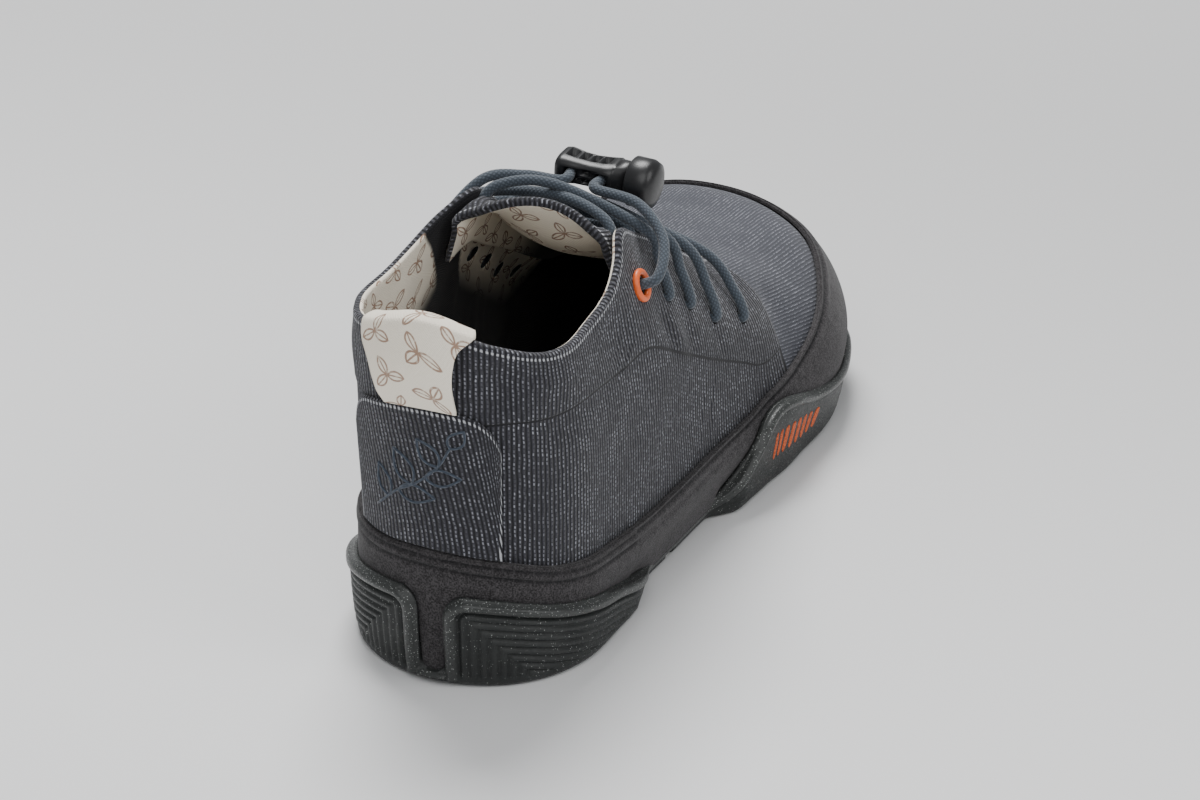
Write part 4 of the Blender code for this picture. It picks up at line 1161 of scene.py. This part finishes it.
def make_patch_bars():
    """A row of slanted bars printed on the smooth patch beside the outer forefoot."""
    across = np.linspace(-1.0, 1.0, 7)
    low, high = BAR_REACH
    for number, middle in enumerate(np.linspace(*BAR_U, BAR_COUNT)):
        rings = []
        for share in np.linspace(0.0, 1.0, 12):
            width = BAR_HALF * math.sqrt(max(1 - (2 * share - 1) ** 6, 0.02))
            u = middle + BAR_SLANT * (share - 0.5) + width * across
            rim_v, _, fullness, _, full = cup_form(u)
            level = rim_v * (low + (high - low) * share)
            outer = cup_wall(u, level, full + BAR_LIFT - BAR_ROUND * across**4, fullness)
            inner = cup_wall(u, level, full - BAR_SUNK, fullness)
            rings.append(np.concatenate([outer, inner[::-1]]))
        made = faces_out(grid_piece(f"patch_bar_{number + 1}", capped(np.array(rings))), 0.002)
        dress(made, ["print"])


# Insole
INSOLE_GAP = 0.55
INSOLE_LIFT = 0.35
INSOLE_RINGS = (
    # share of the outline, share of the thickness, drop
    (0.0, 0.0, 0.0),
    (0.5, 0.0, 0.0),
    (1.0, 0.0, 0.0),
    (1.0, 1.0, 0.6),
    (0.985, 1.0, 0.0),
    (0.9, 1.0, 0.1),
    (0.6, 1.0, 0.4),
    (0.3, 1.0, 0.5),
    (0.0, 1.0, 0.5),
)


def make_insole():
    ring = lifted(even_columns(160)[:-1], 0.0, -(WALL + INSOLE_GAP))
    rings = []
    for share, thickness, drop in INSOLE_RINGS:
        level = SOLE_THICK + INSOLE_LIFT + thickness * INSOLE_THICK - drop
        rings.append(shrunk(ring, share, lambda x, y, z=level: z + spring(y)))
    made = faces_out(grid_piece("insole_cloth", np.array(rings)), 0.004)
    dress(made, ["insole"], "insole")


# Tongue, heel patch and pull loop
TONGUE_WING_V = np.array([3.58, 3.72, 3.86, 3.99])
TONGUE_CELLS = (110, 90)
# How fast the tongue's inside lining darkens below its top edge, as painted shade
TONGUE_SHADE_RATE = 0.45
LOOP_CELLS = (90, 44)
NO_SEAM = 50.0

# How far a sheet's map runs on over its rounded end
END_REACH = np.array([0.0, 1.0])


def resampled(grid, rows, columns):
    """A finer grid on smooth curves through a coarse one."""
    finer = np.stack([smooth_path(grid[:, column], rows) for column in range(grid.shape[1])], 1)
    return np.stack([smooth_path(finer[row], columns) for row in range(rows)], 0)


def leaf_of_cloth(name, outer, inner, maps, values):
    """A closed sheet between two grids, rounded at its two ends; columns wrap round its long edges."""
    middle = 0.5 * (outer + inner)
    half = 0.5 * np.linalg.norm(outer - inner, axis=-1, keepdims=True)
    ends = []
    for end, beside in ((0, 1), (-1, -2)):
        tip = middle[end] + half[end] * unit(middle[end] - middle[beside])
        ends.append(np.concatenate([tip, tip[::-1]])[None])
    points = np.concatenate([ends[0], np.concatenate([outer, inner[:, ::-1]], 1), ends[1]])
    full_maps = {}
    for key, grid in maps.items():
        wide = np.concatenate([grid, grid[:, ::-1], grid[:, :1]], 1)
        full_maps[key] = np.concatenate([wide[:1] - END_REACH, wide, wide[-1:] + END_REACH])
    full_values = {}
    for key, grid in values.items():
        wide = np.concatenate([grid, grid[:, ::-1]], 1)
        full_values[key] = np.concatenate([wide[:1], wide, wide[-1:]])
    made = grid_piece(name, points, maps=full_maps, values=full_values)
    columns = outer.shape[1]
    back = np.tile(np.arange(2 * columns) >= columns, (len(points) - 1, 1))
    back[[0, -1]] = False
    made.data.polygons.foreach_set("material_index", back.ravel().astype(np.int32))
    return faces_out(made, 0.002)


def make_tongue():
    share = np.linspace(0.0, 1.0, 9)[1:-1, None]
    rows = []
    for lateral, medial, outer_inset, inner_inset, *middle in TONGUE_CROWN:
        first = ROW[lateral] if isinstance(lateral, str) else u_at_y(1, lateral)
        second = ROW[medial] if isinstance(medial, str) else u_at_y(-1, medial)
        left = lifted(np.full(4, first), TONGUE_WING_V, TONGUE_LIFT - outer_inset)
        right = lifted(np.full(4, second), TONGUE_WING_V, TONGUE_LIFT - inner_inset)
        arch = left[-1] * (1 - share) * (1 - 2 * share) + right[-1] * share * (2 * share - 1)
        arch = arch + np.array(middle) * 4 * share * (1 - share)
        rows.append(np.concatenate([left, arch, right[::-1]]))
    outer = resampled(np.array(rows), *TONGUE_CELLS)
    columns = TONGUE_CELLS[1]
    centre = slice(columns // 2, columns // 2 + 1)
    out = unit(np.cross(np.gradient(outer, axis=0), np.gradient(outer, axis=1)))
    out *= np.sign(out[:, centre, 2:3])
    thick = TONGUE_THICK * (0.45 + 0.55 * np.sin(np.linspace(0.0, math.pi, columns)))
    inner = outer - thick[None, :, None] * out
    across = lengths(outer, 1)
    along = lengths(outer)
    cloth = np.stack([across - across[:, centre], along], -1)
    to_end = along[-1:] - along
    far = np.full_like(to_end, NO_SEAM)
    # The tongue's lining darkens lower down as painted shade
    values = {"edge": to_end, "dark_cloth_and_shade_depth": TONGUE_SHADE_RATE * to_end, "panel_seam": far, "vamp_seam": -far}
    made = leaf_of_cloth("tongue_cloth", outer, inner, {"wall": cloth, "vamp": cloth}, values)
    dress(made, ("cloth", "lining"), "tongue")


def make_heel_patch():
    share = np.linspace(-1.0, 1.0, PATCH_CELLS)
    first, last = PATCH_SIDES
    top = PATCH_TOP - PATCH_DROP * np.abs(share) ** PATCH_SQUARE
    u = np.broadcast_to(first + (last - first) * 0.5 * (1.0 + share), (PATCH_CELLS, PATCH_CELLS))
    v = PATCH_LOW + np.outer(np.linspace(0.0, 1.0, PATCH_CELLS), top - PATCH_LOW)
    outer = lifted(u, v, RAND_GAP + PATCH_THICK)
    inner = lifted(u, v, RAND_GAP)
    spread = lengths(outer)
    wide = lengths(outer, 1)
    cloth = np.stack([wide, spread], -1)
    edge = np.minimum(np.minimum(spread[-1:] - spread, wide), wide[:, -1:] - wide)
    far = np.full_like(edge, NO_SEAM)
    values = {"edge": edge, "panel_seam": far, "vamp_seam": -far}
    made = leaf_of_cloth("heel_patch_cloth", outer, inner, {"wall": cloth, "vamp": cloth}, values)
    dress(made, ("cloth", "cloth"), "heel_patch")


SPRIG_AT = (-0.22, 2.60)
SPRIG_SCALE = (14.0, 28.0)
SPRIG_LIFT = 0.08
SPRIG_RADIUS = 0.3
SPRIG_STEM = ((-9.5, -8.0), (-4.0, -3.5), (1.0, -0.5), (5.5, 4.0), (8.0, 9.0))
SPRIG_LEAVES = (
    # foot_x, foot_y, turn, length, half_width
    (-6.0, -5.2, 112, 7.5, 1.9),
    (-3.2, -3.0, -2, 8.0, 2.0),
    (0.0, -1.0, 118, 8.5, 2.1),
    (3.0, 1.2, 8, 7.0, 1.8),
    (5.6, 4.2, 126, 7.0, 1.8),
    (8.0, 9.0, 62, 5.5, 1.5),
)


def on_patch(points):
    """Points drawn in millimetres on the heel patch, as places on its outside."""
    u, v = (SPRIG_AT[axis] + points[:, axis] / SPRIG_SCALE[axis] for axis in (0, 1))
    return lifted(u, v, RAND_GAP + PATCH_THICK + SPRIG_LIFT)


def make_sprig():
    """A leaf sprig in thread on the heel patch."""
    curves = [smooth_path([(x, y, 0.0) for x, y in SPRIG_STEM], 60)[:, :2]]
    along = np.linspace(0.0, 1.0, 24)
    for foot_x, foot_y, turn, length, half in SPRIG_LEAVES:
        bend = half * np.sin(math.pi * along**0.8)
        ahead = np.concatenate([along, along[::-1]]) * length
        aside = np.concatenate([bend, -bend[::-1]])
        cosine = math.cos(math.radians(turn))
        sine = math.sin(math.radians(turn))
        x = foot_x + ahead * cosine - aside * sine
        y = foot_y + ahead * sine + aside * cosine
        curves.append(np.stack([x, y], 1))
    for number, curve in enumerate(curves):
        apart = np.linalg.norm(np.diff(curve, axis=0), axis=1) > 0.02
        path = on_patch(curve[np.concatenate([[True], apart])])
        dress(tube(f"sprig_{number + 1}", path, SPRIG_RADIUS, 8), ["thread"])


def make_pull_loop():
    up = np.array([0.0, 0.0, 1.0])
    near = []
    far = []
    for v, near_lift, near_rise, far_lift, far_rise, first_u, last_u in LOOP_ROWS:
        u = np.linspace(first_u, last_u, 9)
        near.append(lifted(u, v, near_lift) + near_rise * up)
        far.append(lifted(u, v, far_lift) + far_rise * up)
    outer = resampled(np.array(far), *LOOP_CELLS)
    inner = resampled(np.array(near), *LOOP_CELLS)
    tape = np.stack([lengths(outer, 1), lengths(outer)], -1)
    made = leaf_of_cloth("pull_loop_tape", outer, inner, {"tape": tape}, {})
    dress(made, ("tape", "tape"), "pull_loop")


# Lace, eyelets and cord lock
LACE_CLEAR = 2.1
LACE_MIDDLE_X = 0.8
LACE_ARCH = 2.6
LACE_OVER = 1.2
RING_LIFT = 1.1
RING_REACH = 2.95
RING_THICK = 0.75


def lace_crown(y):
    rows = np.array(LACE_CROWN)
    return np.array([LACE_MIDDLE_X, y, np.interp(y, rows[:, 0], rows[:, 1])])


def lace_path(side, number, over):
    """A cord out of one eyelet, over the throat's edge and under the far edge one row higher."""
    near_y = EYELET_Y[number]
    far_y = EYELET_Y[number - 1]
    point, out, _, _ = eyelet(side, number)
    rise = lifted(u_at_y(side, near_y - 0.4), EYELET_V[number] + 0.3, LACE_CLEAR)
    edge = lifted(u_at_y(side, near_y - 0.8), 4.0, LACE_CLEAR)
    middle = lace_crown(0.5 * (near_y + far_y)) + np.array([0.0, 0.8, LACE_ARCH + over])
    far = lifted(u_at_y(-side, far_y + 3.0), 4.0, 0.2)
    near_far = far + 0.3 * (middle - far)
    under = lifted(u_at_y(-side, far_y + 2.4), 3.86, -2.4)
    return smooth_path([point - out, point + out, rise, edge, middle, near_far, under], 60)


def make_lace():
    for number in range(1, len(EYELET_Y)):
        for side, word in ((1, "outer"), (-1, "inner")):
            path = lace_path(side, number, side * LACE_OVER)
            made = tube(f"lace_{number + 1}_{word}", path, LACE_RADIUS)
            dress(made, ["lace"], f"lace_cross_{number + 1}")


def in_lock(points):
    """Points of the cord lock's own frame, moved to its place on the shoe."""
    turn = np.array(Matrix.Rotation(TOGGLE_YAW, 3, "Z") @ Matrix.Rotation(TOGGLE_TILT, 3, "Y"))
    return np.asarray(points, float) @ turn.T + TOGGLE_AT


LACE_ENDS = (
    # node, side, reach and bend of the first turn out of the eyelet, two free places, then hole, aside, drop
    ("lace_end_lateral", 1, 3.6, (0.6, 2.0, 1.0), (25.4, 71.5, 78.6), (17.5, 76.5, 83.4), 2.4, 0.4, -0.2),
    ("lace_end_medial", -1, 3.2, (0.0, 3.4, 0.6), (-17.0, 71.5, 85.2), (-9.5, 77.5, 85.0), -5.0, -0.4, -0.1),
)


def make_lace_ends():
    for node, side, reach, bend, third, fourth, hole, aside, drop in LACE_ENDS:
        point, out, _, _ = eyelet(side, 0)
        knots = [point + 0.3 * out, point + reach * out + np.array(bend), third, fourth]
        knots += [in_lock((hole + aside, -7.5, drop)), in_lock((hole, -2.6, 0.0))]
        path = smooth_path(knots, 80)
        made = tube(f"{node}_cord", path, LACE_RADIUS)
        dress(made, ["lace"], node)
        length = float(lengths(path)[-1]) * MM


def make_eyelets():
    turn = circle(48)[:, None, None]
    roll = circle(16)[None, :, None]
    for node, side in (("eyelet_lateral", 1), ("eyelet_medial", -1)):
        point, out, first, second = eyelet(side, 0)
        ahead = np.cos(turn) * first + np.sin(turn) * second
        ring = (RING_REACH + RING_THICK * np.cos(roll)) * ahead + RING_THICK * np.sin(roll) * out
        made = faces_out(grid_piece(f"{node}_ring", point + RING_LIFT * out + ring, (True, True)))
        dress(made, ["enamel"], node)


BODY_RINGS = (
    # along, half_deep, half_high, squareness
    (-9.0, 3.4, 2.4, 3.2),
    (-8.5, 4.3, 3.2, 3.4),
    (-7.3, 4.5, 3.4, 3.4),
    (-4.2, 4.0, 3.0, 3.4),
    (-1.2, 3.9, 2.9, 3.4),
    (2.0, 4.2, 3.2, 3.4),
    (4.5, 4.6, 3.6, 3.2),
    (5.0, 4.4, 3.5, 2.8),
    (5.2, 4.1, 4.1, 2.0),
    (9.2, 4.1, 4.1, 2.0),
)
PLUNGER_PROFILE = (
    # along, radius
    (2.2, 0.0),
    (2.2, 1.5),
    (13.0, 1.5),
    (13.0, 4.7),
    (8.2, 4.7),
    (8.2, 5.2),
    (8.6, 5.6),
    (12.4, 5.6),
    (13.8, 5.0),
    (14.5, 3.2),
    (14.7, 0.0),
)
POCKETS = (
    # along, deep, high, face, half_long, half_wide
    (-6.0, 0.3, 0.0, "top", 1.15, 1.9),
    (-3.1, 0.3, 0.0, "top", 0.95, 1.8),
    (-0.5, 0.3, 0.0, "top", 0.95, 1.8),
    (2.1, 0.3, 0.0, "top", 1.15, 1.9),
    (-5.0, 0.0, 0.0, "rear", 1.55, 1.55),
    (-1.3, 0.0, 0.9, "rear", 1.0, 0.75),
    (-1.3, 0.0, -1.1, "rear", 1.0, 0.75),
    (2.4, 0.0, 0.0, "rear", 1.55, 1.55),
)
POCKET_LEVELS = (1.5, 9.0)
REAR_SHIFT = 0.8
POCKET_SQUARE = 4.0


def squared(count, square):
    """A circle of points with its corners filled out, from round at 2 to nearly square."""
    turns = circle(count)
    reach = (np.abs(np.cos(turns)) ** square + np.abs(np.sin(turns)) ** square) ** (-1.0 / square)
    return reach * np.cos(turns), reach * np.sin(turns)


def pocket_cutter():
    """Round-cornered pins for the openings in the lock's top and rear faces, as one mesh."""
    first, second = squared(20, POCKET_SQUARE)
    pins = []
    for along, deep, high, face, half_long, half_wide in POCKETS:
        rings = []
        for level in POCKET_LEVELS:
            places = [deep + half_wide * second, 0 * second + level]
            if face == "rear":
                places = [0 * second - level - REAR_SHIFT, high + half_wide * second]
            rings.append(np.stack([along + half_long * first, *places], -1))
        pins.append(in_lock(rings))
    return cutter("pocket_cutter", pins)


def make_lock_body():
    rings = []
    for along, deep, high, square in BODY_RINGS:
        first, second = squared(64, square)
        rings.append(np.stack([0 * first + along, deep * first, high * second], -1))
    made = faces_out(grid_piece("lock_body", in_lock(capped(np.array(rings)))), 0.002)
    dress(made, ["plastic"], "toggle_body")
    cut(made, pocket_cutter())


def make_lock_button():
    turns = circle(48)
    rings = []
    for along, radius in PLUNGER_PROFILE:
        rings.append(np.stack([0 * turns + along, radius * np.cos(turns), radius * np.sin(turns)], -1))
    made = faces_out(grid_piece("lock_button", in_lock(rings), body="plunger"), 0.002)
    dress(made, ["plastic"], "toggle_plunger")


# Floor, light and camera
CAMERA_AZIMUTH = math.radians(26.91)
CAMERA_ELEVATION = math.radians(26.83)
CAMERA_FOCAL = 2979.8
CAMERA_SHIFT = (28.62, -76.09, -949.42)
PHOTO_WIDTH = 1200
SENSOR = 36.0
ZOOM = 1.5
AIM = (4.0, 88.0, 27.0)
FLOOR_REACH = 6.0
# Floor colours for a painted falloff of light: lighter near the camera, darker far off
FLOOR_NEAR_LIT = (0.82, 0.82, 0.82)
FLOOR_FAR_SHADED = (0.55, 0.55, 0.55)
LIGHT_AIM = (0.0, 0.0, 0.04)
LIGHTS = (
    # name, spot, size, power
    ("key", (-0.30, 0.45, 1.0), 0.6, 16.0),
    ("front", (0.20, -0.75, 0.9), 0.9, 4.5),
    ("side", (0.85, -0.1, 0.60), 0.6, 2.8),
)


def put(made, spot, target):
    """Puts a camera or light at a spot and turns it to a target."""
    made.location = spot
    made.rotation_euler = Vector(np.subtract(target, spot)).to_track_quat("-Z", "Y").to_euler()


def make_camera():
    level = math.cos(CAMERA_ELEVATION)
    sine = math.sin(CAMERA_AZIMUTH)
    cosine = math.cos(CAMERA_AZIMUTH)
    right = np.array([cosine, sine, 0.0])
    back = np.array([sine * level, -cosine * level, math.sin(CAMERA_ELEVATION)])
    up = np.cross(back, right)
    spot = -(right * CAMERA_SHIFT[0] + up * CAMERA_SHIFT[1] + back * CAMERA_SHIFT[2])
    data = bpy.data.cameras.new("photo_camera")
    data.sensor_width = SENSOR
    data.lens = CAMERA_FOCAL / PHOTO_WIDTH * SENSOR * ZOOM
    made = linked("photo_camera", data)
    put(made, in_part(spot), in_part(AIM))
    bpy.context.scene.camera = made


def make_stage():
    mesh = bpy.data.meshes.new("floor")
    corners = [(FLOOR_REACH * x, FLOOR_REACH * y, 0.0) for x, y in ((-1, -1), (1, -1), (1, 1), (-1, 1))]
    mesh.from_pydata(corners, [], [(0, 1, 2, 3)])
    look = Look("floor_paper", (0.74, 0.74, 0.74), 0.8, Specular_IOR_Level=0.2)
    # Painted falloff of light: the floor darkens with distance from the camera
    _, far = look.apart(look.place())
    look.set("Base Color", look.mix(look.ramp(far, -140.0, 260.0), FLOOR_NEAR_LIT, FLOOR_FAR_SHADED))
    mesh.materials.append(look.material)
    linked("floor", mesh)
    world = bpy.data.worlds.new("studio")
    bpy.context.scene.world = world
    world.use_nodes = True
    backdrop = world.node_tree.nodes["Background"]
    backdrop.inputs["Color"].default_value = (0.92, 0.94, 0.97, 1.0)
    backdrop.inputs["Strength"].default_value = 0.36
    for name, spot, size, power in LIGHTS:
        data = bpy.data.lights.new(name, "AREA")
        data.shape = "DISK"
        data.size = size
        data.energy = power
        put(linked(name, data), spot, LIGHT_AIM)


LOOKS = {
    "cloth": cloth_look(),
    "lining": lining_look("lining_cotton", "wall", True),
    "tape": lining_look("tape_cotton", "tape"),
    "suede": suede_look("microfibre", (0.035, 0.0325, 0.034)),
    "rubber": rubber_look(),
    "insole": plain_cloth_look("insole_cloth", (0.040, 0.038, 0.036)),
    "thread": braid_look("sprig_thread", (0.050, 0.066, 0.092), 3.0),
    "print": print_look(),
    "lace": braid_look("lace_braid", (0.062, 0.078, 0.098), 8.0),
    "plastic": plastic_look(),
    "enamel": enamel_look(),
}
make_upper()
make_rand()
make_outsole()
make_patch_bars()
make_insole()
make_tongue()
make_heel_patch()
make_sprig()
make_pull_loop()
make_lace()
make_lace_ends()
make_eyelets()
make_lock_body()
make_lock_button()
make_camera()
make_stage()
